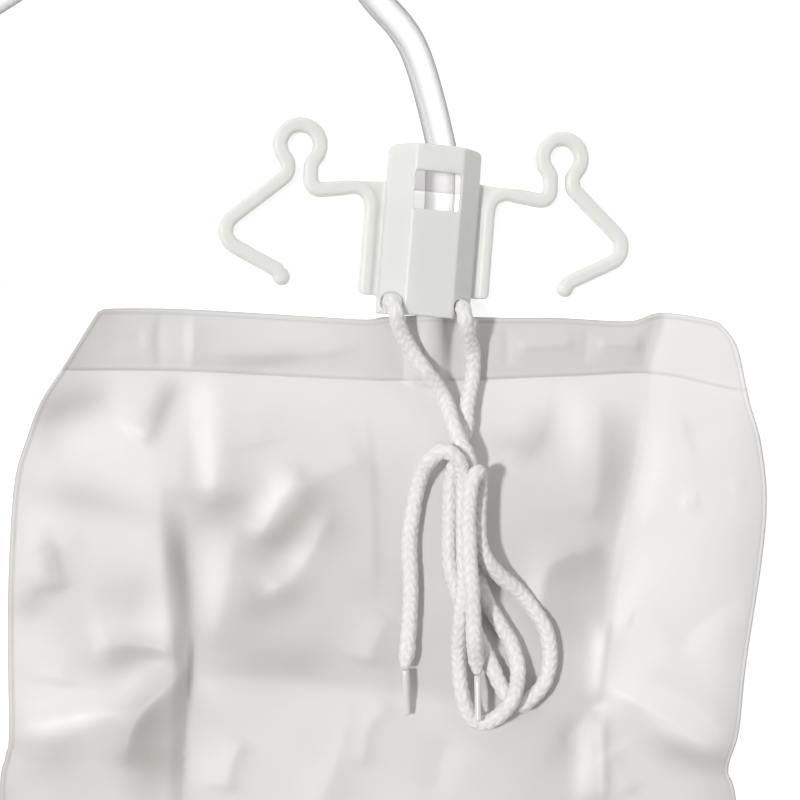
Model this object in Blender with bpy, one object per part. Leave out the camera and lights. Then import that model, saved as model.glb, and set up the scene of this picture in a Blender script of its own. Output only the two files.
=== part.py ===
"""Two-litre urine drainage bag: film bag, moulded hanger, inlet tube with its
connector, tie cord and push-pull outlet tap. It lies flat on its back film.

Metres, +Z up. The bag runs along Y with its hanger at +Y. The origin is the
middle of the footprint of the bag, hanger and tap, on the table.
"""

import bisect
import math

import bmesh
import bpy
from mathutils import Matrix, Vector

MM = 0.001
GAP = 0.3 * MM

# Film bag: two films welded all round
RIM_THICKNESS = 0.7 * MM
POUCH_HEIGHT = 6.0 * MM
POUCH_RISE = 15.0 * MM
BAND_PUFF = 1.5 * MM
PANEL_CREASE_DEPTH = 1.6 * MM
PANEL_CREASE_WIDTH = 3.2 * MM
CROSS_CREASE_HEIGHT = 1.3 * MM
CROSS_CREASE_WIDTH = 7.0 * MM

# Where the two tubes are welded between the films
PORT_X = 9.6 * MM
PORT_SHOULDER = 3.2 * MM
PORT_DEPTH = 22.0 * MM
OUTLET_X = 0.0

# Hanger, in its own frame: x across, y up the housing, z towards the front
HANGER_ORIGIN = Vector((7.7 * MM, 157.5 * MM, 0.0))
HANGER_TILT = math.radians(4.6)
HOUSING_LENGTH = 51.0 * MM
HOUSING_HALF_WIDTH = 14.0 * MM
HOUSING_FRONT_HALF = 7.2 * MM
HOUSING_DEPTH = 12.6 * MM
HOUSING_SIDE = 5.0 * MM
HOUSING_WALL = 1.5 * MM
HOUSING_CORNER = 2.2 * MM
WINDOW_BOTTOM = 31.7 * MM
WINDOW_TOP = 42.9 * MM
WINDOW_HALF = 6.9 * MM
STRAP_HEIGHT = 5.0 * MM
STRAP_THICKNESS = 1.4 * MM
CORD_HOLE_X = 10.6 * MM
CORD_HOLE_Y = 3.6 * MM
CORD_HOLE_RADIUS = 2.9 * MM
CORD_END_HEIGHT = 4.9 * MM
WEB_LOW = 6.3 * MM
WEB_HIGH = 40.7 * MM
WEB_THICKNESS = 2.0 * MM
UPRIGHT_X = 17.9 * MM
UPRIGHT_WIDTH = 3.9 * MM
UPRIGHT_ROUND = 1.8 * MM
ROD_WIDTH = 4.4 * MM
ROD_HEIGHT = 3.8 * MM
ROD_EDGE = 0.8 * MM
ARM_CORNER = 5.4 * MM
ARM_CORNER_STEPS = 6
ARM = Vector((26.0 * MM, 37.95 * MM))
ARM_END = Vector((36.58 * MM, 36.5 * MM))
ARM_END_ROUND = 2.9 * MM
EYE = Vector((40.0 * MM, 50.0 * MM))
EYE_RADIUS = 6.05 * MM
EYE_NECK_HALF = 3.42 * MM
EYE_NECK_ROUND = 3.0 * MM
LEG_TOP = Vector((43.42 * MM, 41.0 * MM))
LEG_TOP_ROUND = 3.4 * MM
ELBOW = Vector((64.5 * MM, 22.5 * MM))
ELBOW_ROUND = 5.3 * MM
LEG_END = Vector((43.6 * MM, 12.1 * MM))
BALL = Vector((43.2 * MM, 10.6 * MM))
BALL_RADIUS = 2.8 * MM
HOOK_SPREAD = 1.2 * MM
HOOK_SET = math.radians(2.7)
HOOK_PIVOT = Vector((-0.6 * MM, 35.9 * MM))

# Inlet tube: about a metre, most of it in a flat coil beside the bag
TUBE_RADIUS = 4.5 * MM
TUBE_HEIGHT = 4.8 * MM
TUBE_LIFT = 6.2 * MM
COIL_CENTRE = Vector((-166.3 * MM, 167.4 * MM, 0.0))
COIL_RADIUS = 45.0 * MM
COIL_HEIGHT = 18.4 * MM
COIL_ROUND = 4.0 * MM
COIL_STEPS = 56

# Tie cord: 5 mm braid, drawn here a little thinner so that its strands stay apart
CORD_RADIUS = 2.15 * MM
CORD_TURN = math.radians(26)
CORD_STEP = 11.5 * MM
AGLET_RADIUS = 1.05 * MM
AGLET_LENGTH = 13.5 * MM

# Connector on the tube's far end, and its pull-off cap
BARREL_RADIUS = 6.0 * MM
BARREL_LENGTH = 15.0 * MM
COLLAR_RADIUS = 4.6 * MM
COLLAR_LENGTH = 5.0 * MM
TAPER_WIDE = 3.9 * MM
TAPER_TIP = 2.7 * MM
TAPER_LENGTH = 32.0 * MM
CONNECTOR_BORE = 1.7 * MM
CAP_RADIUS = 5.7 * MM
CAP_LENGTH = 36.0 * MM
CAP_END = 2.0 * MM
CONNECTOR_HEIGHT = 6.3 * MM

# Outlet tube and push-pull tap
OUTLET_RADIUS = 4.0 * MM
OUTLET_BORE = 2.5 * MM
OUTLET_HEIGHT = 6.9 * MM
OUTLET_LENGTH = 12.0 * MM
TAP_TOP = -186.9 * MM
TAP_BOTTOM = -217.0 * MM
TAP_SOCKET_RADIUS = 5.9 * MM
TAP_SOCKET_DEPTH = 3.6 * MM
TAP_BARREL_Y = -199.4 * MM
TAP_BARREL_RADIUS = 6.5 * MM
TAP_BARREL_HALF = 13.0 * MM
SPOUT_WIDE = 4.6 * MM
SPOUT_TIP = 3.7 * MM
PLUNGER_RADIUS = 4.0 * MM
PLUNGER_WAIST = 2.3 * MM
PLUNGER_WAIST_LENGTH = 6.4 * MM
PLUNGER_STROKE = 8.0 * MM
KNOB_RADIUS = 5.6 * MM
KNOB_THICKNESS = 4.2 * MM


def clear_scene():
    for obj in list(bpy.data.objects):
        bpy.data.objects.remove(obj, do_unlink=True)


def make_material(name, color, roughness, metallic=0.0, alpha=1.0):
    material = bpy.data.materials.new(name)
    material.use_nodes = True
    shader = material.node_tree.nodes["Principled BSDF"]
    shader.inputs["Base Color"].default_value = (*color, 1.0)
    shader.inputs["Roughness"].default_value = roughness
    shader.inputs["Metallic"].default_value = metallic
    shader.inputs["Alpha"].default_value = alpha
    return material


def add_object(name, bm, material, smooth_deg=35.0):
    """Turn a bmesh into a named object with one material."""
    bmesh.ops.recalc_face_normals(bm, faces=bm.faces)
    mesh = bpy.data.meshes.new(name)
    bm.to_mesh(mesh)
    bm.free()
    mesh.shade_smooth()
    mesh.set_sharp_from_angle(angle=math.radians(smooth_deg))
    obj = bpy.data.objects.new(name, mesh)
    bpy.context.scene.collection.objects.link(obj)
    if material:
        mesh.materials.append(material)
    return obj


def combine(target, others, operation):
    """Fuse or cut with exact Booleans, then drop the helper objects."""
    for other in others:
        modifier = target.modifiers.new(operation.title(), "BOOLEAN")
        modifier.operation = operation
        modifier.object = other
    bpy.context.view_layer.update()
    graph = bpy.context.evaluated_depsgraph_get()
    mesh = bpy.data.meshes.new_from_object(target.evaluated_get(graph))
    target.modifiers.clear()
    old = target.data
    target.data = mesh
    mesh.name = old.name + "_fused"
    bpy.data.meshes.remove(old)
    for other in others:
        bpy.data.objects.remove(other, do_unlink=True)


def smooth_curve(points, steps):
    """Catmull-Rom curve through a short list of points."""
    knots = [Vector(p) for p in points]
    ends = [2 * knots[0] - knots[1]] + knots + [2 * knots[-1] - knots[-2]]
    curve = []
    for i in range(1, len(ends) - 2):
        p0, p1, p2, p3 = ends[i - 1:i + 3]
        for step in range(steps):
            t = step / steps
            curve.append(0.5 * (2 * p1 + (p2 - p0) * t
                                + (2 * p0 - 5 * p1 + 4 * p2 - p3) * t ** 2
                                + (3 * p1 - 3 * p2 + p3 - p0) * t ** 3))
    curve.append(knots[-1])
    return curve


def even_points(curve, spacing):
    """Points at even distances along a fine curve, both ends kept."""
    lengths = [0.0]
    for a, b in zip(curve, curve[1:]):
        lengths.append(lengths[-1] + (b - a).length)
    count = max(2, round(lengths[-1] / spacing))
    points = []
    k = 0
    for i in range(count + 1):
        target = lengths[-1] * i / count
        while k < len(lengths) - 2 and lengths[k + 1] < target:
            k += 1
        span = lengths[k + 1] - lengths[k]
        t = (target - lengths[k]) / span if span else 0.0
        points.append(curve[k].lerp(curve[k + 1], min(t, 1.0)))
    return points


def guide(points):
    """A line over the film as a function: the second value for a given first value."""
    curve = smooth_curve([(a * MM, b * MM, 0.0) for a, b in points], 12)
    if curve[0].x > curve[-1].x:
        curve.reverse()
    places = [p.x for p in curve]
    values = [p.y for p in curve]

    def value(at):
        k = min(max(bisect.bisect_left(places, at), 1), len(places) - 1)
        share = (at - places[k - 1]) / (places[k] - places[k - 1])
        return values[k - 1] + (values[k] - values[k - 1]) * min(1.0, max(0.0, share))

    return value


# Lines down the film, as (y, x) in millimetres
left_edge = guide([(158.8, -88.6), (143.4, -96.9), (121.8, -108.7), (109.9, -112.5), (90.7, -113.5),
                   (66.8, -113.9), (35.4, -113.1), (14.0, -115.8), (-60.0, -115.5), (-130.0, -113.5),
                   (-177.6, -111.0)])
left_crease = guide([(159.7, -61.6), (141.2, -60.7), (103.4, -61.0), (62.1, -61.6), (15.0, -64.5),
                     (-60.0, -66.0), (-177.6, -60.0)])
port_line = guide([(156.4, 9.6), (100.0, 8.2), (0.0, 4.0), (-100.0, 0.6), (-177.6, 0.0)])
right_crease = guide([(156.4, 82.5), (141.1, 78.2), (114.0, 74.4), (84.2, 68.4), (41.4, 61.5),
                      (11.3, 60.3), (-60.0, 62.0), (-177.6, 58.0)])
right_edge = guide([(154.4, 102.7), (148.3, 106.5), (132.3, 110.4), (120.3, 113.9), (103.0, 116.0),
                    (83.6, 114.5), (52.0, 109.3), (30.8, 106.8), (19.3, 103.3), (10.0, 105.9),
                    (-30.0, 110.0), (-100.0, 112.6), (-177.6, 110.0)])

# Lines across the film, as (x, y) in millimetres
top_edge = guide([(-88.6, 158.8), (-84.0, 159.8), (-62.7, 159.7), (-27.1, 157.9), (-9.3, 157.5),
                  (9.6, 156.3), (22.7, 155.5), (34.0, 156.8), (50.6, 157.8), (72.2, 157.0),
                  (82.5, 159.6), (98.4, 156.8), (102.7, 154.4)])
band_weld = guide([(-98.0, 141.4), (-61.9, 141.2), (1.3, 138.5), (50.6, 139.9), (79.8, 140.8),
                   (102.4, 136.5), (109.5, 135.6)])
cross_crease = guide([(-113.3, 35.4), (-91.7, 41.2), (-80.6, 43.0), (-61.6, 54.0), (0.7, 48.1),
                      (50.6, 38.3), (87.1, 26.1), (103.3, 19.3)])
low_crease = guide([(-115.8, -62.0), (-60.0, -70.0), (0.0, -66.0), (60.0, -72.0), (112.0, -64.0)])
bottom_weld = guide([(-114.0, -163.0), (-50.0, -164.0), (50.0, -164.0), (112.0, -163.0)])
bottom_edge = guide([(-111.0, -176.4), (-60.0, -177.6), (60.0, -177.6), (110.0, -176.4)])

# Soft folds pressed into the film: middle, heading, length, width and height in millimetres
FOLDS = [
    ((-84.0, 118.0), 68.0, 40.0, 9.0, 1.1),
    ((-40.0, 92.0), 40.0, 34.0, 8.0, 0.9),
    ((-32.0, 118.0), 118.0, 30.0, 9.0, 0.7),
    ((-92.0, 70.0), 24.0, 30.0, 10.0, 1.0),
    ((-40.0, 66.0), -28.0, 36.0, 9.0, 0.9),
    ((92.0, 104.0), 104.0, 38.0, 8.0, 0.9),
    ((88.0, 62.0), 128.0, 34.0, 8.0, 0.8),
    ((-20.0, 12.0), 62.0, 40.0, 10.0, 0.9),
    ((40.0, -20.0), -50.0, 44.0, 10.0, 0.9),
    ((-70.0, -110.0), 35.0, 50.0, 11.0, 1.0),
    ((50.0, -120.0), 150.0, 50.0, 11.0, 1.0),
]


def fold_height(x, y):
    total = 0.0
    for (cx, cy), heading, length, width, height in FOLDS:
        turn = math.radians(heading)
        dx = x / MM - cx
        dy = y / MM - cy
        along = (dx * math.cos(turn) + dy * math.sin(turn)) / length
        across = (dy * math.cos(turn) - dx * math.sin(turn)) / width
        total += height * MM * math.exp(-4 * along ** 2 - 4 * across ** 2)
    return total


def port_height(x, y, centre_x, edge_y, radius, axis_height, side):
    """Film drawn over a round tube end that is welded between the two films."""
    inward = (edge_y - y) * side
    fade = max(0.0, 1.0 - inward / PORT_DEPTH)
    offset = abs(x - centre_x)
    reach = radius + GAP
    if offset < reach * 0.8:
        crown = axis_height + math.sqrt(reach ** 2 - offset ** 2) + RIM_THICKNESS
    else:
        top = axis_height + 0.6 * reach + RIM_THICKNESS
        crown = top * max(0.0, 1.0 - (offset - 0.8 * reach) / (1.6 * PORT_SHOULDER))
    return crown * math.sqrt(fade)


def film_height(x, y):
    """Height of the front film above the table."""
    sides = 1.0
    for room in (x - left_edge(y), right_edge(y) - x):
        sides *= 1.0 - math.exp(-max(0.0, room) / POUCH_RISE)
    weld = band_weld(x)
    if y > weld:
        across = max(0.0, (top_edge(x) - y) / max(1e-6, top_edge(x) - weld))
        height = RIM_THICKNESS + BAND_PUFF * sides * math.sin(math.pi * min(1.0, across))
    elif y < bottom_weld(x):
        height = RIM_THICKNESS
    else:
        ends = 1.0
        for room in (weld - y, y - bottom_weld(x)):
            ends *= 1.0 - math.exp(-room / POUCH_RISE)
        left = abs(x - left_crease(y)) / PANEL_CREASE_WIDTH
        right = abs(x - right_crease(y)) / PANEL_CREASE_WIDTH
        upper = abs(y - cross_crease(x)) / CROSS_CREASE_WIDTH
        lower = abs(y - low_crease(x)) / CROSS_CREASE_WIDTH
        height = RIM_THICKNESS + sides * ends * (
            POUCH_HEIGHT + fold_height(x, y)
            - PANEL_CREASE_DEPTH * (math.exp(-left) + math.exp(-right))
            + CROSS_CREASE_HEIGHT * (math.exp(-upper) + math.exp(-lower)))
    inlet = port_height(x, y, PORT_X, top_edge(x), TUBE_RADIUS, TUBE_HEIGHT, 1)
    outlet = port_height(x, y, OUTLET_X, bottom_edge(x), OUTLET_RADIUS, OUTLET_HEIGHT, -1)
    return max(height, inlet, outlet)


def build_film_bag(material):
    """A closed pillow: a creased front film over a flat back film."""
    port_steps = [-11.0, -7.4, -5.2, -3.9, -2.0, 0.0, 2.0, 3.9, 5.2, 7.4, 11.0]

    def before_port(y):
        return port_line(y) + port_steps[0] * MM

    def after_port(y):
        return port_line(y) + port_steps[-1] * MM

    columns = []
    for low, high, count in ((left_edge, left_crease, 9), (left_crease, before_port, 11)):
        columns += [(low, high, i / count) for i in range(count)]
    port_width = port_steps[-1] - port_steps[0]
    columns += [(before_port, after_port, (s - port_steps[0]) / port_width) for s in port_steps[:-1]]
    for low, high, count in ((after_port, right_crease, 10), (right_crease, right_edge, 8)):
        columns += [(low, high, i / count) for i in range(count)]
    columns.append((right_crease, right_edge, 1.0))

    rows = []
    bands = [top_edge, band_weld, cross_crease, low_crease, bottom_weld, bottom_edge]
    counts = [4, 16, 20, 17, 3]
    for k, count in enumerate(counts):
        rows += [(bands[k], bands[k + 1], i / count) for i in range(count)]
    rows.append((bands[-2], bands[-1], 1.0))

    bm = bmesh.new()
    grid = []
    for upper, lower, share in rows:
        line = []
        for left, right, part in columns:
            x = 0.0
            y = upper(x) + (lower(x) - upper(x)) * share
            for _ in range(6):
                x = left(y) + (right(y) - left(y)) * part
                y = upper(x) + (lower(x) - upper(x)) * share
            line.append(bm.verts.new((x, y, film_height(x, y))))
        grid.append(line)
    for a, b in zip(grid, grid[1:]):
        for i in range(len(a) - 1):
            bm.faces.new((a[i], b[i], b[i + 1], a[i + 1]))
    border = grid[0] + [line[-1] for line in grid[1:]]
    border += list(reversed(grid[-1][:-1])) + [line[0] for line in reversed(grid[1:-1])]
    floor = [bm.verts.new((v.co.x, v.co.y, 0.0)) for v in border]
    for i in range(len(border)):
        j = (i + 1) % len(border)
        bm.faces.new((border[i], border[j], floor[j], floor[i]))
    bm.faces.new(list(reversed(floor)))
    return add_object("film_bag", bm, material, 40.0)


def prism(name, outline, low, high, axis="y"):
    """A closed prism of a flat outline, drawn across the axis it is extruded along."""
    bm = bmesh.new()
    ends = []
    for level in (low, high):
        if axis == "y":
            ends.append([bm.verts.new((u, level, v)) for u, v in outline])
        else:
            ends.append([bm.verts.new((u, v, level)) for u, v in outline])
    bm.faces.new(ends[0])
    bm.faces.new(list(reversed(ends[1])))
    for i in range(len(outline)):
        j = (i + 1) % len(outline)
        bm.faces.new((ends[0][i], ends[1][i], ends[1][j], ends[0][j]))
    return add_object(name, bm, None)


def arc(centre_x, centre_y, radius, start_deg, end_deg, steps):
    points = []
    for i in range(steps + 1):
        angle = math.radians(start_deg + (end_deg - start_deg) * i / steps)
        points.append((centre_x + radius * math.cos(angle), centre_y + radius * math.sin(angle)))
    return points


def fillet(previous, corner, following, radius, steps):
    """Points of the round that takes a corner off a bent rod's centre line."""
    corner = Vector(corner)
    to_previous = (Vector(previous) - corner).normalized()
    to_following = (Vector(following) - corner).normalized()
    half = to_previous.angle(to_following) / 2
    back = radius / math.tan(half)
    centre = corner + (to_previous + to_following).normalized() * (radius / math.sin(half))
    start = corner + to_previous * back - centre
    sweep = math.pi - 2 * half
    if to_previous.x * to_following.y - to_previous.y * to_following.x > 0:
        sweep = -sweep
    points = []
    for i in range(steps + 1):
        turned = Matrix.Rotation(sweep * i / steps, 2) @ start
        points.append(tuple(centre + turned))
    return points


def sweep_rod(name, path, widths):
    """A moulded rod: a flat bar with bevelled edges carried along a flat path."""
    bm = bmesh.new()
    rings = []
    for i, point in enumerate(path):
        here = Vector(point)
        before = Vector(path[max(0, i - 1)])
        after = Vector(path[min(len(path) - 1, i + 1)])
        run_in = (here - before).normalized() if i else (after - here).normalized()
        run_out = (after - here).normalized() if i < len(path) - 1 else run_in
        along = (run_in + run_out).normalized()
        stretch = 1.0 / max(0.5, along.dot(run_in))
        across = Vector((-along.y, along.x)) * stretch
        half = widths[i] / 2
        low_edge = ROD_HEIGHT - ROD_EDGE
        section = [(-half, 0.0), (half, 0.0), (half, low_edge), (half - ROD_EDGE, ROD_HEIGHT),
                   (-half + ROD_EDGE, ROD_HEIGHT), (-half, low_edge)]
        rings.append([bm.verts.new((here.x + across.x * u, here.y + across.y * u, v)) for u, v in section])
    for a, b in zip(rings, rings[1:]):
        for i in range(len(a)):
            j = (i + 1) % len(a)
            bm.faces.new((a[i], a[j], b[j], b[i]))
    bm.faces.new(rings[0])
    bm.faces.new(list(reversed(rings[-1])))
    return add_object(name, bm, None)


def set_hook(point, side):
    """A point of the right-hand drawing, mirrored for the left and turned as the hooks stand."""
    turn = Matrix.Rotation(HOOK_SET, 2)
    return HOOK_PIVOT + turn @ (Vector((side * point[0], point[1])) - HOOK_PIVOT)


def hook_path(side):
    """Centre line and widths of one side's rod, the ball's place and the arm's height."""
    open_turn = math.asin((EYE_NECK_HALF + EYE_NECK_ROUND) / (EYE_RADIUS + EYE_NECK_ROUND))
    open_deg = math.degrees(open_turn)
    reach = EYE_RADIUS + EYE_NECK_ROUND
    sink = EYE.y - reach * math.cos(open_turn)
    spread = Vector((-side * HOOK_SPREAD, 0.0))
    elbow = ELBOW + spread
    leg_end = LEG_END + spread
    neck_in = (EYE.x - EYE_NECK_HALF, sink)
    neck_out = (EYE.x + EYE_NECK_HALF, sink)
    hook = fillet(ARM, ARM_END, neck_in, ARM_END_ROUND, 5)
    hook += arc(EYE.x - reach * math.sin(open_turn), sink, EYE_NECK_ROUND, 0, 90 - open_deg, 3)
    hook += arc(EYE.x, EYE.y, EYE_RADIUS, 270 - open_deg, open_deg - 90, 14)[1:-1]
    hook += arc(EYE.x + reach * math.sin(open_turn), sink, EYE_NECK_ROUND, 90 + open_deg, 180, 3)
    hook += fillet(neck_out, LEG_TOP, elbow, LEG_TOP_ROUND, 4)
    hook += fillet(LEG_TOP, elbow, leg_end, ELBOW_ROUND, 8)
    hook += [leg_end]

    arm = set_hook(ARM, side)
    arm_slope = (set_hook(ARM_END, side) - arm).normalized()
    arm_slope = arm_slope.y / arm_slope.x
    upright_x = side * UPRIGHT_X
    corner = Vector((upright_x, arm.y + arm_slope * (upright_x - arm.x)))
    foot = Vector((upright_x, WEB_LOW + side * UPRIGHT_X * math.tan(HOOK_SET)))
    upright = [foot] + fillet(foot, corner, arm, ARM_CORNER, ARM_CORNER_STEPS)
    widths = [UPRIGHT_WIDTH] * len(upright) + [ROD_WIDTH] * (len(hook) + 1)
    path = upright + [arm] + [set_hook(point, side) for point in hook]
    return path, widths, set_hook(BALL + spread, side), corner


def corner_trim(x, y, radius, across, up):
    """Cutter that takes a vertical edge off to a round: x and y are its sharp corner."""
    round_x = x - across * radius
    round_y = y - up * radius
    curve = arc(round_x, round_y, radius, 90 * up, 90 * up - 90 * up * across, 5)
    outline = [(round_x, y + up * MM)] + curve
    outline += [(x + across * MM, round_y), (x + across * MM, y + up * MM)]
    return prism("trim", outline, -MM, HOUSING_DEPTH + MM, "z")


def build_hanger(material):
    """One moulding: faceted channel, side webs, two spring hooks, back strap and cord holes."""
    wide = HOUSING_HALF_WIDTH
    front = HOUSING_FRONT_HALF
    wall = HOUSING_WALL
    inner_front = front - wall * 0.45
    outline = [(-wide, 0.0), (-wide, HOUSING_SIDE), (-front, HOUSING_DEPTH), (front, HOUSING_DEPTH),
               (wide, HOUSING_SIDE), (wide, 0.0), (wide - wall, 0.0),
               (wide - wall, HOUSING_SIDE - wall * 0.4), (inner_front, HOUSING_DEPTH - wall),
               (-inner_front, HOUSING_DEPTH - wall), (-wide + wall, HOUSING_SIDE - wall * 0.4),
               (-wide + wall, 0.0)]
    body = prism("hanger", outline, 0.0, HOUSING_LENGTH)
    body.data.materials.append(material)

    trims = [corner_trim(side * wide, HOUSING_LENGTH, HOUSING_CORNER, side, 1) for side in (-1, 1)]
    window = [(-WINDOW_HALF, WINDOW_BOTTOM), (WINDOW_HALF, WINDOW_BOTTOM),
              (WINDOW_HALF, WINDOW_TOP), (-WINDOW_HALF, WINDOW_TOP)]
    trims.append(prism("window", window, HOUSING_DEPTH / 2, HOUSING_DEPTH + MM, "z"))
    combine(body, trims, "DIFFERENCE")

    joined = []
    cuts = []
    inside = wide - wall / 2
    strap = [(-inside, WINDOW_TOP - STRAP_HEIGHT), (inside, WINDOW_TOP - STRAP_HEIGHT),
             (inside, WINDOW_TOP), (-inside, WINDOW_TOP)]
    joined.append(prism("strap", strap, 0.1 * MM, STRAP_THICKNESS, "z"))
    for side in (-1, 1):
        path, widths, ball, corner = hook_path(side)
        joined.append(sweep_rod("hook", path, widths))
        bm = bmesh.new()
        bmesh.ops.create_uvsphere(bm, u_segments=14, v_segments=8, radius=BALL_RADIUS)
        half_height = ROD_HEIGHT / 2 + 0.1 * MM
        bmesh.ops.scale(bm, verts=bm.verts, vec=(1.0, 1.0, half_height / BALL_RADIUS))
        bmesh.ops.translate(bm, verts=bm.verts, vec=(ball.x, ball.y, half_height))
        joined.append(add_object("ball", bm, None))

        lift = side * UPRIGHT_X * math.tan(HOOK_SET)
        low = WEB_LOW + lift
        bend = Vector((corner.x + side * ARM_CORNER, corner.y - ARM_CORNER))
        under_round = bend + Vector((-side, 1.0)).normalized() * ARM_CORNER
        arm_x, arm_y = path[ARM_CORNER_STEPS + 1]
        arm_top = arm_y + ROD_WIDTH / 2 - GAP
        web = [(side * inside, low), (corner.x, low), (corner.x, bend.y), tuple(under_round),
               (arm_x, arm_y), (arm_x, arm_top), (side * inside, WEB_HIGH + lift)]
        joined.append(prism("web", web, 0.5 * MM, 0.5 * MM + WEB_THICKNESS, "z"))
        cuts.append(corner_trim(side * (UPRIGHT_X + UPRIGHT_WIDTH / 2), low, UPRIGHT_ROUND, side, -1))
        round_hole = arc(side * CORD_HOLE_X, CORD_HOLE_Y, CORD_HOLE_RADIUS, 0, 360, 16)[:-1]
        cuts.append(prism("hole", round_hole, CORD_END_HEIGHT - GAP, HOUSING_DEPTH + MM, "z"))
    combine(body, joined, "UNION")
    combine(body, cuts, "DIFFERENCE")
    body.data.transform(Matrix.Translation(HANGER_ORIGIN) @ Matrix.Rotation(-HANGER_TILT, 4, "Z"))
    body.data.shade_smooth()
    body.data.set_sharp_from_angle(angle=math.radians(30))
    return body


def thin_points(curve, turn, longest):
    """Keep the points of a fine curve where it has turned enough or run far enough."""
    kept = [curve[0]]
    turned = 0.0
    run = 0.0
    for before, here, after in zip(curve, curve[1:], curve[2:]):
        run += (here - before).length
        turned += (here - before).angle(after - here)
        if turned > turn or run > longest:
            kept.append(here)
            turned = 0.0
            run = 0.0
    return kept + [curve[-1]]


def add_tube(name, points, radius, material, resolution):
    """A round cord or tube: a poly curve with a bevel and filled ends."""
    data = bpy.data.curves.new(name, "CURVE")
    data.dimensions = "3D"
    data.bevel_depth = radius
    data.bevel_resolution = resolution
    data.use_fill_caps = True
    data.twist_mode = "MINIMUM"
    spline = data.splines.new("POLY")
    spline.points.add(len(points) - 1)
    for place, point in zip(spline.points, points):
        place.co = (*point, 1.0)
    data.materials.append(material)
    obj = bpy.data.objects.new(name, data)
    bpy.context.scene.collection.objects.link(obj)
    return obj


def turned(name, profile, steps, material, smooth_deg=35.0):
    """A turned piece: a closed profile of (distance along, radius) spun about its long axis."""
    bm = bmesh.new()
    verts = [bm.verts.new((radius, 0.0, along)) for along, radius in profile]
    edges = [bm.edges.new((a, b)) for a, b in zip(verts, verts[1:] + verts[:1])]
    bmesh.ops.spin(bm, geom=verts + edges, cent=(0, 0, 0), axis=(0, 0, 1), angle=math.tau,
                   steps=steps, use_merge=True)
    bmesh.ops.remove_doubles(bm, verts=bm.verts, dist=GAP / 100)
    return add_object(name, bm, material, smooth_deg)


def lay_along(obj, start, heading):
    """Turn a piece that was spun about Z so that it runs along a heading from its start."""
    turn = Vector((0, 0, 1)).rotation_difference(heading).to_matrix().to_4x4()
    obj.data.transform(turn)
    obj.location = start


def tangent_angle(start, centre, radius):
    """Angle at which a straight line from start meets a ring that it joins counter-clockwise."""
    offset = start - centre
    return math.atan2(offset.y, offset.x) + math.acos(radius / offset.length)


def ring_point(angle, radius, height):
    return COIL_CENTRE + Vector((radius * math.cos(angle), radius * math.sin(angle), height))


def build_inlet_tube(material):
    """The tube from the bag's port through the hanger to the coil, the coil, and its tail."""
    strap_z = TUBE_LIFT / MM
    table_z = TUBE_HEIGHT / MM
    route = [(9.6, 156.7, table_z), (10.9, 172.0, table_z + 0.9), (12.3, 190.0, strap_z),
             (12.6, 200.1, strap_z), (12.8, 208.8, strap_z), (4.9, 237.3, table_z + 0.3),
             (-6.3, 251.8, table_z), (-15.9, 262.0, table_z), (-32.3, 271.2, table_z),
             (-53.1, 274.6, table_z), (-76.5, 270.2, table_z), (-99.6, 260.7, table_z),
             (-119.1, 248.2, table_z)]
    curve = smooth_curve([Vector(point) * MM for point in route], 12)
    straight_start = Vector((curve[-1].x, curve[-1].y, 0.0))
    meeting = tangent_angle(straight_start, COIL_CENTRE, COIL_RADIUS)
    contact = ring_point(meeting, COIL_RADIUS, TUBE_HEIGHT)
    clear_radius = COIL_RADIUS + 2 * TUBE_RADIUS + 2 * GAP
    back = math.sqrt(clear_radius ** 2 - COIL_RADIUS ** 2)
    curve.append(contact + (curve[-1] - contact).normalized() * back)
    add_tube("inlet_tube", even_points(curve, 2.2 * TUBE_RADIUS), TUBE_RADIUS, material, 4)

    inner = COIL_RADIUS - TUBE_RADIUS - GAP / 2
    outer = COIL_RADIUS + TUBE_RADIUS + GAP / 2
    corner = COIL_ROUND
    cut = COIL_ROUND * (1 - math.sqrt(0.5))
    low = GAP
    profile = [(low, inner + corner), (low, outer - corner), (low + cut, outer - cut),
               (low + corner, outer), (COIL_HEIGHT - corner, outer), (COIL_HEIGHT - cut, outer - cut),
               (COIL_HEIGHT, outer - corner), (COIL_HEIGHT, inner + corner),
               (COIL_HEIGHT - cut, inner + cut), (COIL_HEIGHT - corner, inner),
               (low + corner, inner), (low + cut, inner + cut)]
    coil = turned("inlet_tube_coil", profile, COIL_STEPS, material, 60.0)
    coil.location = COIL_CENTRE

    leaving = ring_point(math.radians(191), clear_radius + GAP, 0.0)
    tail_x = leaving.x / MM
    tail_y = leaving.y / MM
    tail = [(tail_x, tail_y, table_z), (tail_x - 0.4, tail_y - 10.0, table_z),
            (tail_x + 0.6, tail_y - 24.0, table_z + 0.6),
            (tail_x + 3.0, tail_y - 38.0, CONNECTOR_HEIGHT / MM)]
    curve = smooth_curve([Vector(point) * MM for point in tail], 12)
    add_tube("inlet_tube_tail", even_points(curve, 2.2 * TUBE_RADIUS), TUBE_RADIUS, material, 4)
    heading = curve[-1] - curve[-4]
    heading.z = 0.0
    return curve[-1], heading.normalized()


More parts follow.
